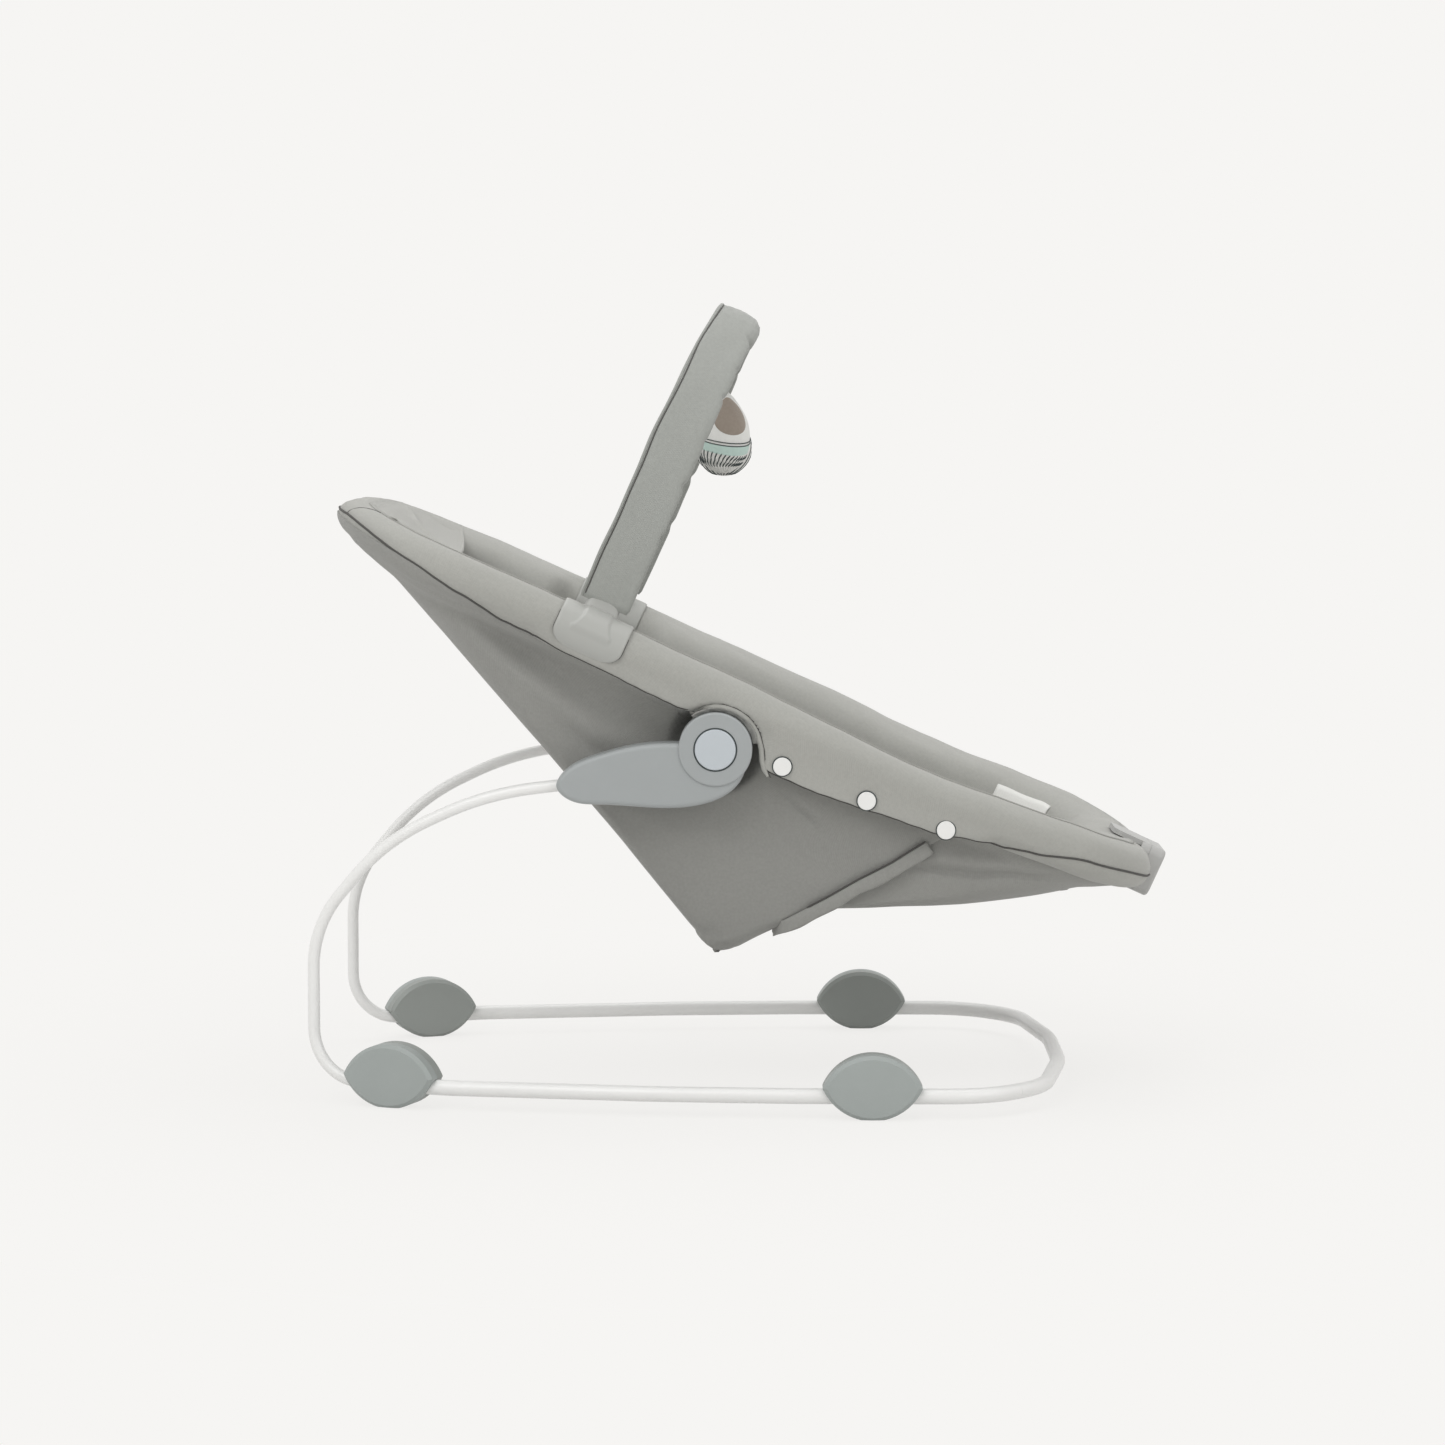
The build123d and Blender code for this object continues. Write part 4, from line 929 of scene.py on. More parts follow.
        name = side.word
        points = [seat.at(p.x, side.value * (self.side_y + stand_out(p) - 0.0012), p.y) for p in line]
        self.sewing.thread(f"notch_roll_{name}", points, 0.0023, "seat", "rim_fabric", "rim_fabric",
                           around=10)
        # Painted shadow: a dark cord at the foot of the rolled hem, in the crease under the roll.
        crease = []
        for p in line:
            q = p + p.normalized() * 0.0024
            crease.append(seat.at(q.x, side.value * (self.side_y + stand_out(p) - 0.0006), q.y))
        self.sewing.thread(f"notch_crease_shadow_{name}", crease, 0.0007, "seat", "piping and painted shadow", "rim_fabric")

        def place(along: float, across: float) -> Vector:
            """A point of the tuck, at shares of the way round the boss and of its width."""
            angle = math.radians(150 - 118 * along)
            away = 0.0312 + (self.notch_at(angle) - 0.0300) * across
            ripple = 0.0008 * math.sin(along * 17) + 0.0006 * math.sin(along * 41 + across * 3)
            y = 0.1935 + 0.0030 * across + ripple
            return seat.at(away * math.cos(angle), side.value * y, away * math.sin(angle))

        tuck = patch(f"notch_tuck_{name}", 60, 6, place, (0.08, 0.006))
        wall(tuck, 0.0012, 0.0)
        self.sewing.hand_over(tuck, "seat", "bag_fabric", "rim_fabric")

    def shade_rings(self, side: Side) -> None:
        """Paint shade as a thin dark ring in the pressed gap round each snap cap, and as one round the hub's
        button.
        """
        seat = self.sewing.seat
        (radius, y), (wide, off) = self.button_shade_ring, self.snap_shade_ring
        # Painted shade: a dark ring in the gap round the hub's button.
        groove = [seat.at(radius * math.cos(a), side.value * y, radius * math.sin(a)) for a in turns_of(90)]
        self.sewing.thread(f"button_shade_ring_{side.word}", groove, 0.00045, "base", "ink_and_painted_shade", "arm_plastic",
                           closed=True)
        # Painted shade: a dark ring in the gap round each snap cap.
        for index, (u, w) in enumerate(self.snaps):
            ring = [seat.at(u + wide * math.cos(a), side.value * off, w + wide * math.sin(a))
                    for a in turns_of(36)]
            self.sewing.thread(f"snap_shade_ring_{side.word}_{index}", ring, 0.00055, "seat", "ink_and_painted_shade",
                               "snap_plastic", closed=True)


# ------------------------------------------------------------------ the hanging bag
@dataclass
class SeatBag:
    """The deep bag under the rim, and the foot cover that overlaps it."""

    sewing: Sewing
    rim: PaddedRim
    top: float = 0.02075
    half: float = 0.171
    taper: float = math.tan(math.radians(10.4))
    head: float = -0.352
    foot: float = 0.362
    apex: tuple[float, float] = (0.072, -0.161)
    back: Table = ((0.072, -0.161), (-0.133, -0.0625), (-0.245, -0.0125), (-0.352, 0.030))
    panel: Table = (
        (0.072, -0.161), (0.1065, -0.1234), (0.145, -0.090), (0.248, -0.0386), (0.299, -0.009),
        (0.354, 0.0247), (0.380, 0.040))
    hem: Table = ((0.1065, -0.1234), (0.1925, -0.0011))
    binding_line: Table = (
        (0.1925, -0.0005), (0.1743, -0.0292), (0.1556, -0.0535), (0.1375, -0.0795), (0.1190, -0.1040),
        (0.1075, -0.1185))
    valley_line: Table = (
        (-0.2355, 0.0145), (-0.164, 0.0045), (-0.116, -0.0035), (-0.0706, -0.0080), (-0.030, -0.0115))
    ridge_line: Table = (
        (-0.2528, 0.0041), (-0.2188, -0.0026), (-0.1885, -0.0111), (-0.1545, -0.0178), (-0.1186, -0.0237),
        (-0.0936, -0.0302))
    fold_line: Table = (
        (0.197, -0.0216), (0.215, -0.0169), (0.233, -0.0106), (0.275, 0.0064), (0.325, 0.0248),
        (0.362, 0.0389))
    tent_line: Table = ((-0.161, 0.072), (-0.128, 0.057), (-0.091, 0.040), (-0.079, 0.030), (-0.045, 0.012))
    columns: int = 576
    rows: int = 84
    tucked: int = 8
    hub_room: float = 0.1465
    tip: float = 0.0090

    @staticmethod
    def reach(line: Table, w: float) -> float:
        """Where a line of (u, w) points passes a depth."""
        for (u0, w0), (u1, w1) in zip(line, line[1:]):
            if w <= w1:
                return u0 + (u1 - u0) * (w - w0) / (w1 - w0)
        return line[-1][0]

    def back_line(self, w: float) -> float:
        """How far towards the head the bag reaches at a depth."""
        return max(self.head, self.reach(self.back, w))

    def foot_line(self, w: float) -> float:
        """How far towards the foot the bag reaches at a depth."""
        return min(self.foot, self.reach(self.panel, w))

    def plan(self, w: float, count: int) -> list[Vector]:
        """The bag's rounded outline at a depth.

        Args:
            w: Depth in seat coordinates.
            count: Points round the outline.

        Returns:
            Plan points (u, y), the head end's middle first, along -Y.
        """
        share = max(0.0, (self.top - w) / (self.top - self.apex[1]))
        low, high = self.back_line(w), self.foot_line(w)
        y = self.half - (self.top - w) * self.taper
        reach = (high - low) / 2
        r_head = min(reach * 0.9, 0.016 + 0.093 * (1 - share) ** 5)
        r_foot = min(reach * 0.9, 0.012 + 0.075 * (1 - share) ** 4)
        head_half, foot_half = y - r_head, y - r_foot

        def head_arc(a: float) -> Vector:
            """A point of the head end's corner."""
            return Vector((low + r_head - r_head * math.cos(a), -head_half - r_head * math.sin(a)))

        def foot_arc(a: float) -> Vector:
            """A point of the foot end's corner."""
            return Vector((high - r_foot + r_foot * math.sin(a), -foot_half - r_foot * math.cos(a)))

        quarter: list[Vector] = []
        eighth = count // 8
        for i in range(eighth):
            run = (head_half + r_head * math.pi / 4) * (i / eighth)
            flat = run < head_half
            quarter.append(Vector((low, -run)) if flat else head_arc((run - head_half) / r_head))
        straight = max(1e-5, high - low - r_head - r_foot)
        side = count // 2 - 2 * eighth
        total = (r_head + r_foot) * math.pi / 4 + straight
        for i in range(side):
            run = total * i / side
            if run < r_head * math.pi / 4:
                quarter.append(head_arc(math.pi / 4 + run / r_head))
            elif run < r_head * math.pi / 4 + straight:
                quarter.append(Vector((low + r_head + run - r_head * math.pi / 4, -y)))
            else:
                quarter.append(foot_arc((run - r_head * math.pi / 4 - straight) / r_foot))
        arc = r_foot * math.pi / 4
        for i in range(eighth + 1):
            run = (foot_half + arc) * (i / eighth)
            flat = Vector((high, -(foot_half - (run - arc))))
            quarter.append(foot_arc(math.pi / 4 + run / r_foot) if run < arc else flat)
        mirrored = [Vector((p.x, -p.y)) for p in reversed(quarter[1:-1])]
        return quarter + mirrored

    def around(self) -> list[Station]:
        """Stations on the loop, matched to the corners of the outlines below."""
        count = self.columns
        stations = self.sewing.loop.stations(count * 4)
        half = stations[: count * 2 + 1]
        head_mid, foot_mid = nearest(half, -0.318, -0.139), nearest(half, 0.332, -0.138)
        eighth, side = count // 8, count // 2 - 2 * (count // 8)
        picks = [head_mid * i / eighth for i in range(eighth)]
        picks += [head_mid + (foot_mid - head_mid) * i / side for i in range(side)]
        picks += [foot_mid + (len(half) - 1 - foot_mid) * i / eighth for i in range(eighth + 1)]
        quarter = [half[round(p)] for p in picks]
        total = stations[-1].run + stations[1].run
        mirrored = [Station(s.u, -s.y, Vector((s.out.x, -s.out.y)), total - s.run)
                    for s in reversed(quarter[1:-1])]
        return quarter + mirrored

    def folds(self, u: float, y: float, w: float) -> float:
        """How far the cloth stands out of its plain shape.

        Args:
            u: Towards the foot.
            y: Sideways.
            w: Depth.

        Returns:
            Metres outwards, negative where it sinks in.
        """
        side = ease((abs(y) - 0.10) / 0.03)
        slack = drift(u * 8, y * 4, w * 8 + 3)
        fine = drift(u * 30 + 4, y * 12, w * 30)
        drag = drift((u * 0.55 + w) * 34, y * 3, (w * 0.5 - u) * 3.2)
        deep = w - between(self.valley_line, u)
        fade = ease((u + 0.250) / 0.09) * ease((0.015 - u) / 0.04)
        valley = -0.0095 * fade * bump(deep, 0.0065 + 0.012 * ease((u + 0.24) / 0.17))
        crown = w - between(self.ridge_line, u)
        ridge = 0.0042 * bump(crown, 0.011) * ease((u + 0.275) / 0.05) * ease((-0.050 - u) / 0.06)
        second = -0.0032 * bump(crown + 0.017, 0.008) * ease((u + 0.150) / 0.06) * ease((-0.010 - u) / 0.05)
        tent_at = between(self.tent_line, w)
        tent = 0.0085 * max(0.0, 1 - math.hypot(u - tent_at, 0.006) / 0.085) * ease((-0.035 - w) / 0.05)
        pinch = -0.0035 * bump(math.hypot(u - 0.0600, w + 0.1500), 0.007)
        pleat = -0.0030 * bump(w + 0.0155 + (u - 0.080) * 0.32, 0.0028) * bump(u - 0.094, 0.016)
        hollow = -0.0045 * bump(math.hypot(u - 0.118, (w + 0.050) * 1.5), 0.040)
        shaped = valley + ridge + second + tent + pinch + pleat + hollow + self.crease(u, w)
        return shaped * side + 0.0014 * slack + 0.0005 * fine + 0.0010 * drag * side

    def crease(self, u: float, w: float) -> float:
        """The foot cover's side fold, sunk between two puffed strips."""
        if u < 0.18:
            return 0.0
        line = between(self.fold_line, u)
        fade = ease((u - 0.188) / 0.02) * ease((0.372 - u) / 0.03)
        upper, lower = 0.0036 * bump(w - line - 0.010, 0.008), 0.0016 * bump(w - line + 0.012, 0.012)
        return fade * (upper - 0.0052 * bump(w - line, 0.0034) + lower)

    def skin(self, name: str, grow: float) -> Piece:
        """The whole bag's outer skin, before it is cut at the hem.

        Args:
            name: Name of the piece.
            grow: Metres outside the plain shape.

        Returns:
            The open skin.
        """
        stations = self.around()
        rows: list[list[Vector]] = []
        turn_end = math.radians(-72)
        for row in range(self.tucked + 1):
            ring = []
            for s in stations:
                start = math.radians(-46)
                if self.rim.skirt(s.u) < 0.0005:
                    start = min(self.rim.turn_at(s.u), math.radians(-8))
                turn = start + (turn_end - start) * row / self.tucked
                ring.append(self.rim.surface(s, turn, 0.0009 + grow, plain=True))
            rows.append(ring)
        last = rows[-1]
        lower = self.rows - self.tucked
        for row in range(1, lower + 1):
            share = row / lower
            depth = 1 - (1 - share) ** 1.12
            ring = []
            w_low = self.top + (self.apex[1] - self.top) * depth
            plan = self.plan(max(w_low, self.apex[1] + self.tip), self.columns)
            mix = ease(depth / 0.05)
            left = max(0.0, w_low - self.apex[1])
            narrow = math.sqrt(max(0.0, 1 - (1 - left / self.tip) ** 2)) if left < self.tip else 1.0
            plan = [Vector((self.apex[0] + (p.x - self.apex[0]) * narrow, p.y * (0.97 + 0.03 * narrow)))
                    for p in plan]
            for start, low in zip(last, plan):
                w = start.z + (self.apex[1] + 1e-4 - start.z) * depth
                p = Vector((start.x, start.y)).lerp(low, mix)
                ring.append(Vector((p.x, p.y, w * (1 - mix) + max(w_low, self.apex[1] + 1e-4) * mix)))
            rows.append(ring)

        def place(along: float, down: float) -> Vector:
            """A point of the skin, at shares of the way round the bag and down it."""
            row = round(down * self.rows)
            i = round(along * self.columns) % self.columns
            p = rows[row][i]
            q, r = rows[row][i - 1], rows[row][(i + 1) % self.columns]
            run = Vector((r.x - q.x, r.y - q.y))
            out = outward(run, p)
            fade = ease((row - self.tucked) / 5) * ease((p.z - self.apex[1]) / 0.012)
            pocket = 0.024 * bump(p.z + 0.0020, 0.0115) * ease((0.046 - abs(p.y)) / 0.022) * (p.x > 0.2)
            lift = (grow * min(1.0, row / self.tucked) + self.folds(p.x, p.y, p.z) * fade
                    + pocket * ease(out.x * 2 - 0.8))
            y = abs(p.y + out.y * lift)
            y += (min(y, self.hub_room) - y) * ease((0.041 - math.hypot(p.x, p.z)) / 0.011)
            return self.sewing.seat.at(p.x + out.x * lift, math.copysign(y, p.y), p.z)

        return patch(name, self.columns, self.rows, place, (1.9, 0.3))

    def cut(self, piece: Piece, shift: float, keep_foot: bool) -> None:
        """Cut a skin along the slanting hem.

        Args:
            piece: The skin.
            shift: Metres towards the foot from the hem's line.
            keep_foot: Whether the part towards the foot stays.
        """
        (u0, w0), (u1, w1) = self.hem
        seat = self.sewing.seat
        run = (seat.at(u1, 0, w1) - seat.at(u0, 0, w0)).normalized()
        normal = Vector((run.z, 0, -run.x))
        bm = bmesh.new()
        bm.from_mesh(piece.data)
        bmesh.ops.bisect_plane(
            bm, geom=bm.verts[:] + bm.edges[:] + bm.faces[:], dist=1e-6,
            plane_co=seat.at(u0, 0, w0) + normal * shift, plane_no=normal,
            clear_inner=keep_foot, clear_outer=not keep_foot)
        bm.to_mesh(piece.data)
        bm.free()

    def binding(self) -> None:
        """Sew the gathered binding along the cover's hem, down both sides and across underneath, with a dark
        cord of painted shadow under the bag's edge.
        """
        seat = self.sewing.seat
        near: list[Vector] = []
        for i in range(61):
            u, w = point_on(self.binding_line, i / 60)
            y = self.half - (self.top - w) * self.taper
            near.append(Vector((u, -y - 0.0028 + 0.012 * ease((i - 52) / 8) ** 2, w)))
        low = near[-1]
        across = [Vector((low.x, low.y + (-2 * low.y) * i / 90, low.z)) for i in range(1, 90)]
        line = near + across + [Vector((p.x, -p.y, p.z)) for p in reversed(near)]
        count = len(line) - 1

        def place(along: float, over: float) -> Vector:
            """A point of the binding, at shares of its line and of its width."""
            i = round(along * count)
            p = line[i]
            turn = ease((i - 46) / 14) * ease((count - 46 - i) / 14)
            wide = Vector((0.0095, 0, -0.0062)).lerp(Vector((0.0042, 0, -0.0112)), turn)
            out = math.copysign(1 - turn, p.y)
            gather = math.sin(i * 1.15) * 0.0007 * ease((46 - min(i, count - i)) / 12)
            roll = 0.0012 * math.sin(over * math.pi) + gather * over
            shift = Vector((0.0006 * math.sin(i * 0.41) * over, out * roll,
                            0.0005 * math.sin(i * 0.23 + 1) * over))
            return seat.at(*(p + wide * over + shift))

        band = patch("cover_binding", count, 8, place, (0.62, 0.012))
        wall(band, 0.0014, 0.0)
        self.sewing.hand_over(band, "seat", "bag_fabric", "bag_fabric")
        for side in Side:
            # Painted shadow: a dark cord where the bag's edge overlaps the cover's binding.
            shadow = [seat.at(p.x - 0.0008, side.value * (abs(p.y) + 0.0006), p.z) for p in near[:44]]
            self.sewing.thread(f"binding_edge_shadow_{side.word}", shadow, 0.0009, "seat", "piping and painted shadow", "bag_fabric")

    def make(self) -> None:
        """Sew the bag and the foot cover."""
        bag = self.skin("seat_bag", 0.0)
        self.cut(bag, 0.004, keep_foot=False)
        wall(bag, 0.0026)
        self.sewing.hand_over(bag, "seat", "bag_fabric", "bag_fabric", ["back_bag"])
        cover = self.skin("foot_cover_cloth", -0.0032)
        self.cut(cover, -0.008, keep_foot=True)
        wall(cover, 0.0022)
        self.sewing.hand_over(cover, "seat", "bag_fabric", "bag_fabric", ["foot_cover"])
        self.binding()


# ------------------------------------------------------------------ inside the seat
@dataclass
class Lining:
    """The seat's inner cloth: the lining, the head cover and the padded liner with its harness."""

    sewing: Sewing
    rim: PaddedRim
    bag: SeatBag
    inset: float = 0.0075
    fall: Table = (
        (0.0, 0.0), (0.012, -0.0016), (0.024, -0.0046), (0.034, -0.0095), (0.041, -0.0180),
        (0.0435, -0.0320))
    upper: int = 12
    lower: int = 26
    arc: Sequence[tuple[float, float, float]] = ()
    cover_end: float = -0.286
    pad_half: float = 0.119
    pad_thick: float = 0.0075
    slope: float = math.radians(25.4)
    pad_reach: tuple[float, float] = (0.032, 0.398)
    floor_gap: float = 0.0084
    stitch: float = 0.0055

    def lining(self) -> None:
        """Hang the padded lining from the rim's crest down into the bag."""
        stations = self.bag.around()
        count, upper, lower = len(stations), self.upper, self.lower
        rows: list[list[Vector]] = []
        for row in range(upper + 1):
            inward, drop = point_on(self.fall, row / upper)
            ring = []
            for s in stations:
                crest = self.rim.surface(s, math.radians(93), 0.0006)
                soft = drift(s.run * 9, row * 0.10, 3) * 0.0030 * ease(row / 4)
                fold = drift(s.run * 34 + row * 0.25, row * 0.22, 8) * 0.0012 * ease(row / 3)
                step = inward + soft
                puffed = Vector((crest.x - s.out.x * step, crest.y - s.out.y * step,
                                 crest.z + drop + fold + soft * 0.4))
                hugging = self.rim.surface(s, math.radians(93 + 95 * row / upper), 0.0005)
                hug = ease((0.060 - abs(s.u - ARCH_U)) / 0.026) if abs(s.y) > 0.15 else 0.0
                ring.append(puffed.lerp(hugging, hug))
            rows.append(ring)
        for row in range(1, lower + 1):
            depth = row / lower
            w_low = self.bag.top + (self.bag.apex[1] + 0.030 - self.bag.top) * depth
            plan = self.bag.plan(w_low, count)
            mix = ease(depth / 0.30)
            ring = []
            for i, (start, low) in enumerate(zip(rows[upper], plan)):
                run = plan[(i + 1) % count] - plan[i - 1]
                out = outward(run, low)
                slack = 0.0020 * drift(low.x * 9, low.y * 9, w_low * 9 + 5)
                hub = 0.0225 * ease((0.048 - math.hypot(low.x, w_low)) / 0.012)
                inner = low - out * (self.inset + slack + hub - min(0.0, self.bag.folds(low.x, low.y, w_low)))
                p = Vector((start.x, start.y)).lerp(inner, mix)
                w = start.z + (w_low + self.inset - start.z) * depth
                ring.append(Vector((p.x, p.y, w * (1 - mix) + (w_low + self.inset * 0.8) * mix)))
            rows.append(ring)
        last = len(rows) - 1

        def place(along: float, down: float) -> Vector:
            """A point of the lining, at shares of the way round the bag and down it."""
            return self.sewing.seat.at(*rows[round(down * last)][round(along * count) % count])

        cloth = patch("seat_lining", count, last, place, (1.8, 0.28))
        wall(cloth, 0.0012, 0.0)
        self.sewing.hand_over(cloth, "seat", "liner_fabric", "liner_fabric")
        self.patch_label(rows, stations)

    def patch_label(self, rows: list[list[Vector]], stations: Sequence[Station]) -> None:
        """Sew the bare white patch on the lining near the foot end."""
        middle = nearest(stations, 0.300, 0.163)

        def place(along: float, over: float) -> Vector:
            """A point of the label, at shares of its length and of its height."""
            i, row = middle + round((along - 0.5) * 16), 9 + round(over * 3)
            p, q = rows[row][i], stations[i]
            return self.sewing.seat.at(p.x - q.out.x * 0.0011, p.y - q.out.y * 0.0011, p.z + 0.0013)

        label = patch("bare_patch", 16, 3, place, (0.055, 0.016))
        wall(label, 0.0006, 0.0)
        self.sewing.hand_over(label, "seat", "toy_plush", "liner_fabric")

    def cover_point(self, across: float, down: float) -> Vector:
        """Point of the head cover: across the seat, and down from the head end.

        Args:
            across: 0 at the child's right to 1 at the left.
            down: 0 at the head end to 1 at the free edge.

        Returns:
            The point in seat coordinates.
        """
        x0, last = self.arc[0][0], len(self.arc) - 1
        y_share = 2 * across - 1
        end = self.cover_end + 0.016 * (1 - y_share ** 2)
        x = x0 + (end - x0) * down
        base = min(x, self.arc[last][0])
        after = next(i for i, t in enumerate(self.arc)
                     if t[0] >= base - 1e-6 and (i == last or self.arc[i + 1][0] > base))
        a, b = self.arc[after], self.arc[min(after + 1, last)]
        share = (base - a[0]) / (b[0] - a[0]) if b[0] - a[0] > 1e-9 else 0.0
        y, z = a[1] + (b[1] - a[1]) * share, a[2] + (b[2] - a[2]) * share
        belly = max(0.0, 1 - y_share ** 2)
        p = Vector((x, y * y_share, z))
        p.z -= (0.0115 * ease(down / 0.9) + 0.0020 * down) * belly ** 0.8
        crossing = p.x - between(((0.0, -0.293), (0.03, -0.315), (0.125, -0.345)), p.y)
        crease = 0.0022 * bump(crossing, 0.0055) * ease((p.y + 0.02) / 0.03) * ease((0.118 - p.y) / 0.05)
        second = (0.0016 * bump(p.x + 0.322 - 0.10 * (p.y + 0.13), 0.005) * ease((-0.02 - p.y) / 0.04)
                  * ease((p.y + 0.155) / 0.03))
        soft = 0.0018 * drift(p.x * 22, p.y * 11, 2.0) * belly
        p.z += crease + second + soft
        return p

    def head_cover(self) -> None:
        """Stretch the cover over the head end, with its rolled free edge."""
        seat = self.sewing.seat
        half = self.sewing.loop.stations(640)[:320]
        arc = [self.rim.surface(s, math.radians(104), 0.0010) for s in half if s.u < self.cover_end]
        self.arc = [(p.x, abs(p.y), p.z) for p in sorted(arc, key=lambda p: (round(p.x, 4), abs(p.y)))]
        cover = patch("head_cover", 120, 60, lambda a, b: seat.at(*self.cover_point(a, b)), (0.30, 0.09))
        wall(cover, 0.0016, 0.0)
        self.sewing.hand_over(cover, "seat", "liner_fabric", "liner_fabric")
        edge = [seat.at(*(self.cover_point(i / 90, 1.0) + Vector((0.0006, 0, -0.0006)))) for i in range(91)]
        self.sewing.thread("head_cover_hem", edge, 0.0021, "seat", "liner_fabric", "liner_fabric", around=10)
        for side in Side:
            mouth = []
            for step in range(25):
                share = step / 24
                want = between(((0.0, -0.3445), (0.35, -0.3430), (0.7, -0.3375), (1.0, -0.3160)), share)
                station = min(half, key=lambda s: abs(s.u - want))
                first = self.rim.turn_at(station.u)
                turn = first + (math.radians(99) - first) * ease(share / 0.75)
                p = self.rim.surface(station, turn, -0.0001)
                mouth.append(seat.at(p.x, side.value * abs(p.y), p.z))
            for _ in range(4):
                mouth[1:-1] = [(a + b * 2 + c) / 4 for a, b, c in zip(mouth, mouth[1:], mouth[2:])]
            self.sewing.thread(f"rim_corner_seam_{side.word}", mouth, 0.0007, "seat", "piping and painted shadow", "rim_fabric")

    def pad_point(self, x: float, y: float, side: float) -> Vector:
        """Point of the liner pad's skin.

        Args:
            x: Metres up the backrest from the bottom fold.
            y: Metres sideways.
            side: 1 for the child's side, -1 for the underside.

        Returns:
            The point in seat coordinates.
        """
        low, high = self.pad_reach
        edge = min(ease((self.pad_half - abs(y)) / 0.016), ease((x - low) / 0.016), ease((high - x) / 0.016))
        body = self.pad_thick * math.sqrt(max(0.0, edge)) * (0.82 + 0.18 * side)
        quilt = 0.0
        if side > 0:
            for line in (-0.062, 0.062):
                quilt += 0.0034 * bump((y - line) / self.stitch, 1.0)
            for line in (0.125, 0.21, 0.295):
                quilt += 0.0030 * bump((x - line) / self.stitch, 1.0) * ease((0.075 - abs(y)) / 0.02)
            quilt += 0.0010 * drift(x * 40, y * 40, 1)
        hollow = 0.020 * (abs(y) / self.pad_half) ** 2.6 * ease((x - low) / 0.05)
        rise = self.floor_gap + self.pad_thick + hollow + side * body - quilt * edge
        c, s = math.cos(self.slope), math.sin(self.slope)
        return Vector((self.bag.apex[0] - x * c + rise * s, y, self.bag.apex[1] + x * s + rise * c))

    def liner(self) -> None:
        """Quilt the backrest's liner and pipe its edge."""
        seat, (low, high) = self.sewing.seat, self.pad_reach

        def outline(angle: float, share: float) -> tuple[float, float]:
            """A rounded pad in plan: an angle round it and a share of the way out."""
            c, s = math.cos(angle), math.sin(angle)
            x = math.copysign(abs(c) ** 0.42, c) * (high - low) / 2 * share
            y = math.copysign(abs(s) ** 0.42, s) * self.pad_half * share
            return (low + high) / 2 + x, y

        def place(around: float, over: float) -> Vector:
            """A point of the pad, at shares of a turn and of the way over its edge."""
            share = 1 - abs(2 * over - 1)
            x, y = outline(around * math.tau, math.sin(share * math.pi / 2))
            return seat.at(*self.pad_point(x, y, 1.0 if over < 0.5 else -1.0))

        pad = patch("liner_pad", 240, 96, place, (0.74, 0.48))
        self.sewing.hand_over(pad, "seat", "liner_fabric", "liner_fabric", ["liner_back"])
        rope = []
        for i in range(260):
            x, y = outline(i / 260 * math.tau, 1.0)
            rope.append(seat.at(*self.pad_point(x, y, 1.0)))
        self.sewing.thread("liner_piping", rope, 0.0020, "seat", "piping and painted shadow", "liner_fabric", closed=True,
                           around=8)

    def leg_pad(self) -> None:
        """Stuff the leg liner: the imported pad, blown up softly between its seams."""
        pad = Stuffing().puff("leg_liner_pad", "liner_leg")
        self.sewing.hand_over(pad, "seat", "liner_fabric", "liner_fabric", ["liner_leg"])

    def strap(self, name: str, line: Sequence[tuple[float, float, float]], width: float, across: Vector,
              nodes: Sequence[str]) -> None:
        """Lay one webbing strap along points of the backrest.

        Args:
            name: Name of the piece.
            line: Points as (x up the backrest, y, height over the pad).
            width: Its width.
            across: Direction of its width, in (x, y) of the backrest.
            nodes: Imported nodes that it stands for.
        """
        seat = self.sewing.seat
        c, s = math.cos(self.slope), math.sin(self.slope)

        def lay(x: float, y: float, rise: float) -> Vector:
            """A point of the backrest, at a height over the pad."""
            top = self.floor_gap + 2 * self.pad_thick + rise
            return seat.at(self.bag.apex[0] - x * c + top * s, y, self.bag.apex[1] + x * s + top * c)

        def place(along: float, over: float) -> Vector:
            """A point of the strap, at shares of its length and of its width."""
            k = along * (len(line) - 1)
            i = min(int(k), len(line) - 2)
            t = ease(k - i) * 0.5 + (k - i) * 0.5
            x, y, rise = (line[i][j] + (line[i + 1][j] - line[i][j]) * t for j in range(3))
            off = (over - 0.5) * width
            rib = 0.00022 * math.cos(over * math.tau * 6)
            return lay(x + across.x * off, y + across.y * off, rise + rib + 0.0004 * math.sin(along * 9))

        band = patch(name, 60, 24, place, (len(line) * 0.04, width))
        wall(band, 0.0015, 0.0)
        self.sewing.hand_over(band, "seat", "webbing", "webbing", nodes)
        length = sum((Vector(b) - Vector(a)).length for a, b in zip(line, line[1:]))

    def harness(self) -> None:
        """Lay the waist and crotch straps from the liner's slots to the buckle."""
        x = 0.104
        waist = ((0.0, 0.036, 0.0052), (0.0, 0.058, 0.0050), (0.001, 0.080, 0.0052), (0.002, 0.100, 0.0085),
                 (0.003, 0.112, 0.0120))
        for side in Side:
            line = [(x - back, side.value * y, rise) for back, y, rise in waist]
            nodes = ["waist_straps"] if side is Side.RIGHT else []
            self.strap(f"waist_strap_{side.word}", line, 0.0250, Vector((1, 0)), nodes)
        line = [(0.036, 0, 0.0006), (0.050, 0, 0.0012), (0.066, 0, 0.0012), (0.0805, 0, 0.0012)]
        self.strap("crotch_strap_cloth", line, 0.0250, Vector((0, 1)), ["crotch_strap"])

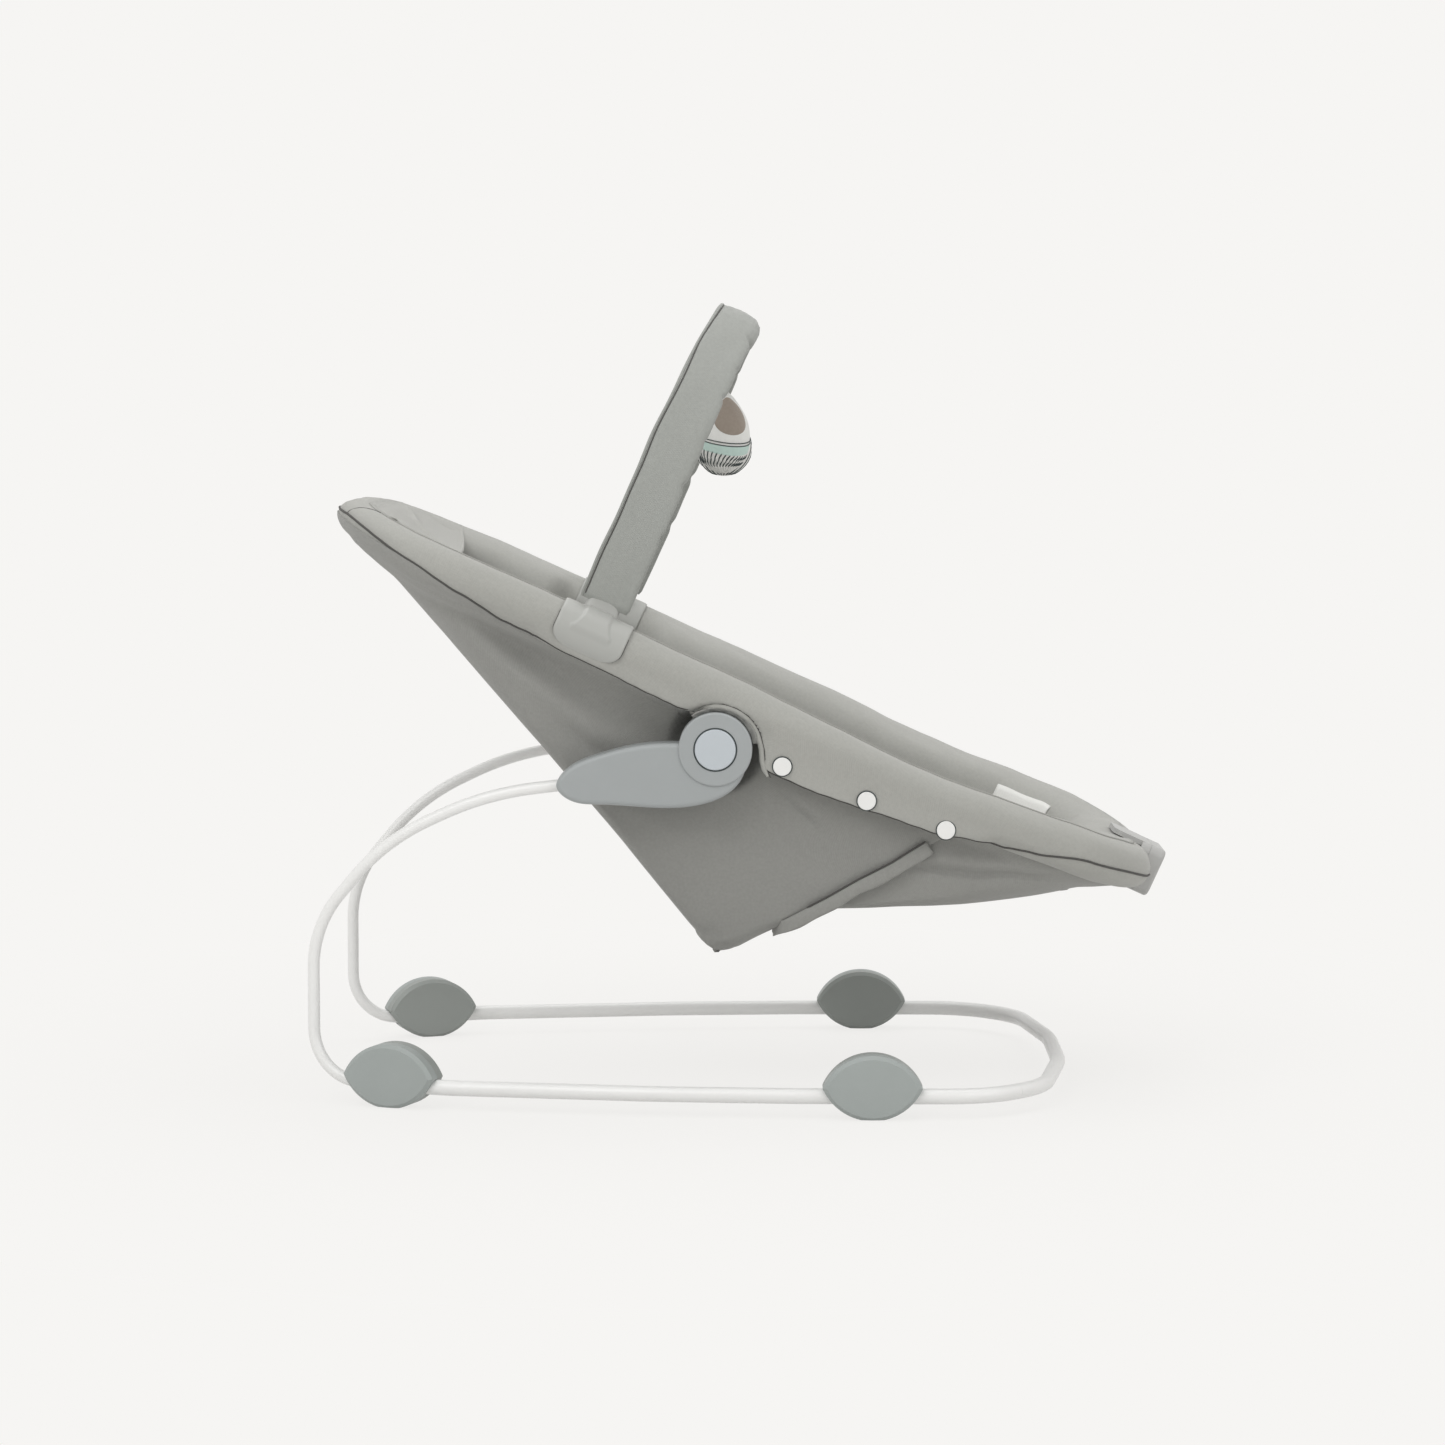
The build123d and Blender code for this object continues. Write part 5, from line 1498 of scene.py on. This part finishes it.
    def make(self) -> None:
        """Sew everything inside the seat."""
        self.lining()
        self.head_cover()
        self.liner()
        self.leg_pad()
        self.harness()


@dataclass(frozen=True)
class Stuffing:
    """Blows a packed soft solid up into a stuffed cloth shape."""

    cell: float = 0.005
    pressure: float = 4.0
    frames: int = 20
    reach: float = 0.006
    inset: float = 0.002

    def puff(self, name: str, node: str) -> Piece:
        """Copy a node, give it even cells and let cloth pressure round it.

        Args:
            name: Name of the new piece.
            node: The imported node.

        Returns:
            The stuffed piece.
        """
        source = frame["nodes"][node]
        piece = bpy.data.objects.new(name, source.data.copy())
        bpy.context.scene.collection.objects.link(piece)
        piece.matrix_world = source.matrix_world.copy()
        piece.data.transform(piece.matrix_world)
        piece.matrix_world = Matrix.Identity(4)
        self.apply(piece, "REMESH", mode="VOXEL", voxel_size=self.cell)
        bm = bmesh.new()
        bm.from_mesh(piece.data)
        bmesh.ops.smooth_vert(bm, verts=bm.verts, factor=0.5, use_axis_x=True, use_axis_y=True,
                              use_axis_z=True)
        bm.normal_update()
        for vert in bm.verts:
            vert.co -= vert.normal * self.inset
        bm.to_mesh(piece.data)
        bm.free()
        self.blow(piece)
        layers = piece.data.uv_layers
        weave = layers[0] if layers else layers.new(name="cloth")
        for loop in piece.data.loops:
            place = piece.data.vertices[loop.vertex_index].co
            weave.data[loop.index].uv = (place.x + place.z, place.y)
        piece.data.polygons.foreach_set("use_smooth", [True] * len(piece.data.polygons))
        smooth_out(piece)
        return piece

    def apply(self, piece: Piece, kind: str, **values: object) -> None:
        """Put a modifier on a piece and keep what it makes."""
        modifier = piece.modifiers.new(kind.lower(), kind)
        for key, value in values.items():
            setattr(modifier, key, value)
        self.keep(piece)

    @staticmethod
    def keep(piece: Piece) -> None:
        """Replace a piece's mesh with its evaluated shape."""
        bpy.context.view_layer.update()
        shown = piece.evaluated_get(bpy.context.evaluated_depsgraph_get())
        mesh = bpy.data.meshes.new_from_object(shown)
        piece.modifiers.clear()
        piece.data = mesh

    def blow(self, piece: Piece) -> None:
        """Run the cloth under pressure and cap how far each point goes."""
        before = [v.co.copy() for v in piece.data.vertices]
        cloth = piece.modifiers.new("cloth", "CLOTH")
        settings = cloth.settings
        settings.use_pressure, settings.uniform_pressure_force = True, self.pressure
        settings.effector_weights.gravity = 0.0
        settings.mass, settings.tension_stiffness, settings.bending_stiffness = 0.3, 15.0, 0.4
        scene = bpy.context.scene
        for step in range(1, self.frames + 1):
            scene.frame_set(step)
        self.keep(piece)
        scene.frame_set(1)
        for vert, home in zip(piece.data.vertices, before):
            move = vert.co - home
            if move.length > self.reach:
                vert.co = home + move.normalized() * self.reach


# ------------------------------------------------------------------ the toy arch
@dataclass
class ToyArch:
    """The padded arch sleeve with its piping, its two clips, and the hanging toys."""

    sewing: Sewing
    place_u: float = ARCH_U
    corners: tuple[tuple[float, float, float], ...] = (
        (0.165, 0.068, 0.0), (0.165, 0.165, 0.255), (0.128, 0.262, 0.185), (0.052, 0.327, 0.132))
    half_thick: float = 0.0062
    crown_top: Table = (
        (-1, 0.0095), (-0.5, 0.0114), (0.1, 0.0120), (0.6, 0.0098), (0.9, 0.0050), (1, -0.001))
    crown_under: Table = (
        (-1, 0.0095), (-0.95, 0.003), (-0.75, -0.0075), (0, -0.0100), (0.7, -0.0095), (0.95, -0.006),
        (1, -0.001))
    tucks: Table = (
        (0.070, 0.0014), (0.118, 0.0020), (0.160, 0.0012), (0.205, 0.0020), (0.238, 0.0013),
        (0.282, 0.0030))
    clip_half: float = 0.0305
    clip_low: float = 0.0264
    clip_corner: float = 0.013
    rim_y: float = 0.176
    rim_out: float = 0.0215
    rim_middle: float = 0.0403
    rim_tall: float = 0.0197
    columns: int = 420
    rows: int = 40
    length: float = 0.0
    line: Sequence[tuple[Vector, Vector]] = ()

    def path(self) -> list[tuple[Vector, Vector]]:
        """Points (y, w) along the arch from the right foot, each with its outward direction.

        Returns:
            Evenly spaced pairs.
        """
        ring = [(-y, w, r) for y, w, r in self.corners] + [(y, w, r) for y, w, r in reversed(self.corners)]
        dense: list[Vector] = [Vector(ring[0][:2])]
        for before, here, after in zip(ring, ring[1:], ring[2:]):
            corner = Vector(here[:2])
            arrive = (corner - Vector(before[:2])).normalized()
            leave = (Vector(after[:2]) - corner).normalized()
            turn = math.acos(max(-1.0, min(1.0, arrive.dot(leave))))
            reach = here[2] * math.tan(turn / 2)
            hand = -1 if arrive.x * leave.y - arrive.y * leave.x < 0 else 1
            start = corner - arrive * reach
            centre = start + Vector((-arrive.y, arrive.x)) * hand * here[2]
            for step in range(25):
                dense.append(centre + Matrix.Rotation(hand * turn * step / 24, 2) @ (start - centre))
        dense.append(Vector(ring[-1][:2]))
        self.length, cuts = even_steps(dense, self.columns)
        made = []
        for _, k, share in cuts:
            run = (dense[k + 1] - dense[k]).normalized()
            made.append((dense[k].lerp(dense[k + 1], min(1.0, share)), Vector((-run.y, run.x))))
        return made

    def skin(self, i: int, turn: float, lift: float = 0.0) -> Vector:
        """Point of the sleeve.

        Args:
            i: Step along the path.
            turn: Angle round it: 0 at the foot-side fold, 180 degrees at the head-side seam.
            lift: Metres outside the skin.

        Returns:
            The point in the row frame.
        """
        point, out = self.line[i]
        along = i / self.columns * self.length
        from_foot = min(along, self.length - along)
        crown = ease((from_foot - 0.250) / 0.075)
        c, s = math.cos(turn), math.sin(turn)
        head_half, foot_half = 0.0200 - 0.0044 * crown, 0.0212 + 0.0022 * crown
        notch = sum(deep * bump(from_foot - at, 0.0045) for at, deep in self.tucks)
        pull = drift(along * 26, c * 1.5, s * 1.5)
        crush = drift(along * 110 + s * 4, c * 3, s * 2) * crown
        gap = 0.0016 * bump(along - 0.150, 0.030) * ease(-c * 2 - 1)
        end = ease(from_foot / 0.004)
        u = (foot_half if c > 0 else head_half) * math.copysign(abs(c) ** 0.72, c) * (0.94 + 0.06 * end)
        u += (0.0009 * pull + lift - notch * ease(c * 2 - 0.6)) * c - gap
        top = between(self.crown_top if s >= 0 else self.crown_under, c)
        plain = (self.half_thick * (0.80 + 0.35 * ease(c)) * math.copysign(abs(s) ** 0.55, s)
                 * (0.70 + 0.30 * end))
        n = plain * (1 - crown) + top * crown + (0.0008 * pull + 0.0010 * crush + lift) * s
        p = point + out * n
        return self.sewing.seat.at(self.place_u + u, p.x, p.y)

    def sleeve(self) -> None:
        """Sew the sleeve, its piping and the painted shadow beside the piping."""
        self.line = self.path()

        def place(along: float, turn: float) -> Vector:
            """A point of the sleeve, at shares of the arch and of a turn round it."""
            return self.skin(round(along * self.columns), turn * math.tau)

        cloth = patch("arch_sleeve_cloth", self.columns, self.rows, place, (self.length, 0.1))
        self.sewing.hand_over(cloth, "toy_arch", "sleeve_fabric", "sleeve_fabric", ["arch_sleeve"])
        rope = [self.skin(i, math.pi, 0.0006) for i in range(self.columns + 1)]
        self.sewing.thread("sleeve_piping", rope, 0.0017, "toy_arch", "sleeve_fabric", "sleeve_fabric",
                           around=8)
        # Two dark cords beside the piping: painted shadow in the grooves along it.
        for number, turn in enumerate((158, 201)):
            groove = [self.skin(i, math.radians(turn), -0.0001) for i in range(2, self.columns - 1)]
            self.sewing.thread(f"sleeve_piping_shadow_{number}", groove, 0.0008, "toy_arch", "piping and painted shadow",
                               "sleeve_fabric")

    def make(self) -> None:
        """Sew the sleeve and the toys."""
        self.sleeve()
        for side in Side:
            self.saddle(side)
        Toys(self.sewing).make()

    def saddle(self, side: Side) -> None:
        """Mould the clip that straddles the rim, with its flared neck and a dark line round its edge that
        paints the shadow in the gap between the clip and the cloth.
        """
        seat, half, low, corner = self.sewing.seat, self.clip_half, self.clip_low, self.clip_corner
        middle, tall, name = self.rim_middle, self.rim_tall, side.word

        def skin(across: float, turn: float, lift: float = 0.0) -> Vector:
            """A point of the clip: a share of its length, and the angle round the rim."""
            w = middle + (tall + 0.0026) * math.sin(turn)
            room = max(0.0, low + corner - w)
            reach = half - corner + math.sqrt(max(0.0, corner ** 2 - room ** 2)) if room > 0 else half
            u = (across * 2 - 1) * reach
            flare = between(((0.046, 0.0185), (0.0505, 0.0150), (0.056, 0.0128), (0.064, 0.0125)), w)
            raised = (0.0017 * ease((flare - abs(u)) / 0.0025) * ease((w - 0.0395) / 0.007)
                      * ease(math.cos(turn) * 3 + 1.2))
            rim_edge = -0.0007 * ease((abs(across * 2 - 1) - 0.94) / 0.06)
            out = 0.0026 + raised + rim_edge + lift
            y = self.rim_y + (self.rim_out + out) * math.cos(turn)
            return seat.at(self.place_u + u, side.value * y, middle + (tall + out) * math.sin(turn))

        first, last = math.radians(-44.5), math.radians(224.5)
        clip = patch(f"saddle_clip_{name}", 56, 84, lambda a, b: skin(a, first + (last - first) * b),
                     (0.06, 0.1))
        wall(clip, 0.0021)
        self.sewing.hand_over(clip, "toy_arch", "saddle_plastic", "saddle_plastic", [f"arch_saddle_{name}"])

        def neck(around: float, up: float) -> Vector:
            """A point of the neck, from the clip's crest into the sleeve."""
            w = 0.0535 + 0.0185 * up
            spread = (1 - up) ** 2.2
            c, s = math.cos(around * math.tau), math.sin(around * math.tau)
            u = (0.0143 + 0.0045 * spread) * math.copysign(abs(c) ** 0.6, c)
            y = 0.165 + 0.003 * spread + (0.0048 + 0.0080 * spread) * math.copysign(abs(s) ** 0.7, s)
            return seat.at(self.place_u + u, side.value * y, w)

        stem = patch(f"saddle_neck_{name}", 64, 20, neck, (0.08, 0.02))
        self.sewing.hand_over(stem, "toy_arch", "saddle_plastic", "saddle_plastic")
        # Painted shadow: a dark cord just inside the clip's lower edge, in the gap between the plastic and
        # the rim's cloth.
        top = math.radians(38)
        line = [skin(0.0, top + (first - top) * i / 30, -0.0018) for i in range(31)]
        line += [skin(i / 20, first, -0.0018) for i in range(1, 20)]
        line += [skin(1.0, first + (top - first) * i / 30, -0.0018) for i in range(31)]
        self.sewing.thread(f"saddle_gap_shadow_{name}", line, 0.00055, "toy_arch", "piping and painted shadow", "saddle_plastic")


@dataclass
class Toys:
    """A stuffed egg in a striped skirt and a striped ball, on twill tapes."""

    sewing: Sewing
    pleats: int = 34
    stripes: int = 22

    def egg(self) -> None:
        """Sew the egg: a plain body, a felt patch, a mint collar and a pleated skirt."""
        low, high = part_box("toy_egg")
        centre = (Vector(low) + Vector(high)) / 2
        radius, height = (high[0] - low[0]) / 2, high[2] - low[2]

        def body(turn: float, share: float, lift: float = 0.0) -> Vector:
            """A point of the egg: an angle round it and a share of its height from the bottom."""
            lobe = math.sin(math.pi * max(0.0, min(1.0, share)) ** 0.86) ** 0.62
            r = radius * 0.985 * lobe * (1.0 - 0.12 * share) + lift
            pleat = 0.0006 * math.cos(turn * self.pleats) * ease((0.22 - share) / 0.05) * ease(share / 0.06)
            soft = 0.0006 * drift(math.cos(turn) * 2, math.sin(turn) * 2, share * 4)
            r = max(0.0, r + (pleat + soft) * ease(lobe * 4))
            return Vector((centre.x + r * math.cos(turn), centre.y + r * math.sin(turn),
                           low[2] + height * share))

        def tilt(turn: float) -> float:
            """How much higher the collar runs at an angle: lowest in front."""
            return 0.085 * (1 - math.cos(turn + 0.96))

        first, last = 0.215, 0.325

        def collar(across: float, up: float) -> Vector:
            """A point of the mint collar, which runs tilted round the egg."""
            turn = math.tau * across
            return body(turn, first + (last - first) * up + tilt(turn), 0.0003)

        whole = patch("toy_egg_body", 136, 96, lambda a, b: body(a * math.tau, b), (0.15, 0.08))
        self.sewing.hand_over(whole, "toy_egg", "toy_plush", "toy_plush", ["toy_egg"])
        bib = patch("toy_egg_bib", 272, 10, collar, (0.15, 0.08 * (last - first)))
        self.sewing.hand_over(bib, "toy_egg", "mint", "toy_plush")
        for number, share in enumerate((0.325, 0.360)):
            ring = [body(turn, share + tilt(turn), 0.0003) for turn in turns_of(90)]
            self.sewing.thread(f"toy_egg_line_{number}", ring, 0.00045, "toy_egg", "ink_and_painted_shade", "toy_plush",
                               closed=True)
        for number in range(self.pleats):
            turn = math.tau * (number + 0.5) / self.pleats
            stripe = [body(turn + 0.35 * k / 10, 0.085 + (0.125 + tilt(turn)) * k / 10, -0.0001)
                      for k in range(11)]
            self.sewing.thread(f"toy_egg_pleat_{number:02d}", stripe, 0.00062, "toy_egg", "ink_and_painted_shade", "toy_plush")

        def face(across: float, up: float) -> Vector:
            """The felt patch: an oval on the side towards the foot and the near side."""
            angle = across * math.tau
            turn = math.radians(-66) + 0.80 * up * math.cos(angle)
            tall = 0.685 + 0.225 * up * math.sin(angle)
            return body(turn, tall, 0.0006 * ease((1 - up) * 8))

        felt = patch("toy_egg_face", 48, 12, face, (0.03, 0.03))
        self.sewing.hand_over(felt, "toy_egg", "taupe", "toy_plush")

    def ball(self) -> None:
        """Sew the ball from six puffed panels, with slanting stripes."""
        low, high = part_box("toy_ball")
        centre = (Vector(low) + Vector(high)) / 2
        radius = (high[0] - low[0]) / 2

        def body(turn: float, rise: float, lift: float = 0.0) -> Vector:
            """A point of the ball: angles round it and up it."""
            seam = 0.0011 * bump(math.sin(turn * 3) / 0.16, 1.0) * math.cos(rise)
            r = radius * 0.985 - seam + lift
            level = math.cos(rise)
            return centre + Vector((math.cos(turn) * level, math.sin(turn) * level, math.sin(rise))) * r

        whole = patch("toy_ball_body", 120, 60, lambda a, b: body(a * math.tau, (b - 0.5) * math.pi),
                      (0.14, 0.07))
        self.sewing.hand_over(whole, "toy_ball", "toy_plush", "toy_plush", ["toy_ball"])
        for number in range(self.stripes):
            start = math.tau * number / self.stripes
            stripe = [body(start + 0.9 * (k / 16 - 0.5), (k / 16 - 0.5) * math.radians(150), -0.0002)
                      for k in range(17)]
            self.sewing.thread(f"toy_ball_stripe_{number:02d}", stripe, 0.0008, "toy_ball", "ink_and_painted_shade",
                               "toy_plush")

    def tape(self, node: str, body: str) -> None:
        """Hang one folded tape, spread a little where it holds the toy."""
        low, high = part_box(node)
        middle = (Vector(low) + Vector(high)) / 2
        tall, width = high[2] - low[2], high[1] - low[1]

        def place(down: float, across: float) -> Vector:
            """A point of the tape, at shares of its drop and of its two faces."""
            side = 1 if across < 0.5 else -1
            run = (across * 2 if across < 0.5 else 2 - across * 2) - 0.5
            open_by = 0.0006 + 0.0022 * math.sin(math.pi * min(1.0, down * 1.02)) * ease(tall / 0.03)
            sway = 0.0007 * math.sin(down * 5)
            return Vector((middle.x + side * open_by + sway, middle.y + run * width, high[2] - tall * down))

        cloth = patch(f"{node}_cloth", 40, 12, place, (tall, 2 * width))
        self.sewing.hand_over(cloth, body, "ribbon", "ribbon", [node])

    def make(self) -> None:
        """Sew both toys and hang them."""
        self.egg()
        self.ball()
        self.tape("ribbon_egg", "toy_egg")
        self.tape("ribbon_ball", "toy_ball")


# ------------------------------------------------------------------ studio
@dataclass(frozen=True)
class Studio:
    """Plain pale floor, soft lamps and the camera."""

    backdrop: Colour = (0.922, 0.913, 0.896)
    lens: float = 103.14
    camera: tuple[float, float, float] = (0.02783, -3.6, 0.606)
    pitch: float = math.radians(4.7705)
    yaw: float = math.radians(0.7516)
    floor_half: float = 14.0
    floor_drop: float = -0.0005
    target: tuple[float, float, float] = (0, 0, 0.3)
    lamps: tuple[tuple[str, tuple[float, float, float], float, float], ...] = (
        ("key_lamp", (-1.6, -2.6, 2.9), 2.6, 52.0), ("fill_lamp", (2.4, -2.4, 1.5), 2.4, 20.0),
        ("top_lamp", (0.2, 0.8, 3.2), 3.0, 42.0))

    def aim(self) -> None:
        """Set up the camera, level and looking slightly down."""
        data = bpy.data.cameras.new("camera")
        data.lens, data.sensor_width = self.lens, 36.0
        data.clip_start, data.clip_end = 0.05, 60.0
        eye = bpy.data.objects.new("camera", data)
        bpy.context.scene.collection.objects.link(eye)
        level = math.cos(self.pitch)
        ahead = Vector((-math.sin(self.yaw) * level, math.cos(self.yaw) * level, -math.sin(self.pitch)))
        eye.rotation_mode = "QUATERNION"
        eye.rotation_quaternion = ahead.to_track_quat("-Z", "Y")
        eye.location = self.camera
        bpy.context.scene.camera = eye

    def lamp(self, name: str, place: tuple[float, float, float], size: float, power: float) -> None:
        """Hang one square soft lamp that faces the seat."""
        data = bpy.data.lights.new(name, "AREA")
        data.shape, data.size, data.energy = "SQUARE", size, power
        lamp = bpy.data.objects.new(name, data)
        bpy.context.scene.collection.objects.link(lamp)
        lamp.location = place
        lamp.rotation_mode = "QUATERNION"
        lamp.rotation_quaternion = (Vector(self.target) - Vector(place)).to_track_quat("-Z", "Y")

    def seen(self, n: Nodes) -> Socket:
        """1 for rays that show the backdrop straight, in gloss or through glass."""
        path = n.add("ShaderNodeLightPath")
        straight = n.sum("ADD", path.outputs["Is Camera Ray"], path.outputs["Is Glossy Ray"])
        return n.sum("MINIMUM", n.sum("ADD", straight, path.outputs["Is Transmission Ray"]), 1.0)

    def light(self) -> None:
        """Lay the floor, and light the seat softly from above and the front."""
        scene = bpy.context.scene
        scene.view_settings.view_transform = "Standard"
        world = bpy.data.worlds.new("studio")
        world.use_nodes = True
        scene.world = world
        n = Nodes(world.node_tree)
        sky = world.node_tree.nodes["Background"]
        sky.inputs["Color"].default_value = (*self.backdrop, 1)
        n.wire(n.sum("MULTIPLY_ADD", self.seen(n), 0.38, 0.62), sky.inputs["Strength"])
        bm = bmesh.new()
        bmesh.ops.create_grid(bm, x_segments=1, y_segments=1, size=self.floor_half)
        bmesh.ops.translate(bm, verts=bm.verts, vec=(0, 0, self.floor_drop))
        floor = finish_mesh("floor", bm)
        floor.data.materials.append(self.floor_material())
        for values in self.lamps:
            self.lamp(*values)
        self.aim()

    def floor_material(self) -> bpy.types.Material:
        """Pale floor that takes a faint shadow near the seat and melts into the backdrop."""
        material = bpy.data.materials.new("Studio floor")
        material.use_nodes = True
        n = Nodes(material.node_tree)
        material.node_tree.nodes.remove(material.node_tree.nodes["Principled BSDF"])
        out = material.node_tree.nodes["Material Output"]
        paint = n.add("ShaderNodeBsdfDiffuse")
        paint.inputs["Color"].default_value = (0.80, 0.795, 0.785, 1)
        glow = n.add("ShaderNodeEmission")
        glow.inputs["Color"].default_value = (*self.backdrop, 1)
        coords = n.add("ShaderNodeTexCoord")
        far = n.add("ShaderNodeVectorMath", operation="LENGTH")
        n.wire(coords.outputs["Object"], far.inputs[0])
        reach = n.add("ShaderNodeMapRange", interpolation_type="SMOOTHSTEP")
        reach.inputs["From Min"].default_value, reach.inputs["From Max"].default_value = 0.35, 0.95
        reach.inputs["To Min"].default_value, reach.inputs["To Max"].default_value = 0.86, 1.0
        n.wire(far.outputs["Value"], reach.inputs["Value"])
        mix = n.add("ShaderNodeMixShader")
        n.wire(n.sum("MULTIPLY", reach.outputs[0], self.seen(n)), mix.inputs[0])
        n.wire(paint.outputs[0], mix.inputs[1])
        n.wire(glow.outputs[0], mix.inputs[2])
        n.wire(mix.outputs[0], out.inputs[0])
        return material


def hub_point() -> Vector:
    """The recline axis on the mirror plane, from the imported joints."""
    joint = next(j for j in frame["record"]["behaviour"]["joints"] if j["name"] == "recline")
    return Vector(joint["pos_m"])


def main() -> None:
    """Build and dress everything, in order."""
    logging.basicConfig(level=logging.INFO, format="%(name)s: %(message)s")
    studio = Studio()
    studio.light()
    wardrobe = Wardrobe()
    wardrobe.dress_frame()
    sewing = Sewing(SeatPlane(hub_point()), Loop(), wardrobe)
    rim = PaddedRim(sewing)
    rim.make()
    bag = SeatBag(sewing, rim)
    bag.make()
    Lining(sewing, rim, bag).make()
    ToyArch(sewing).make()


if __name__ == "__main__":
    main()
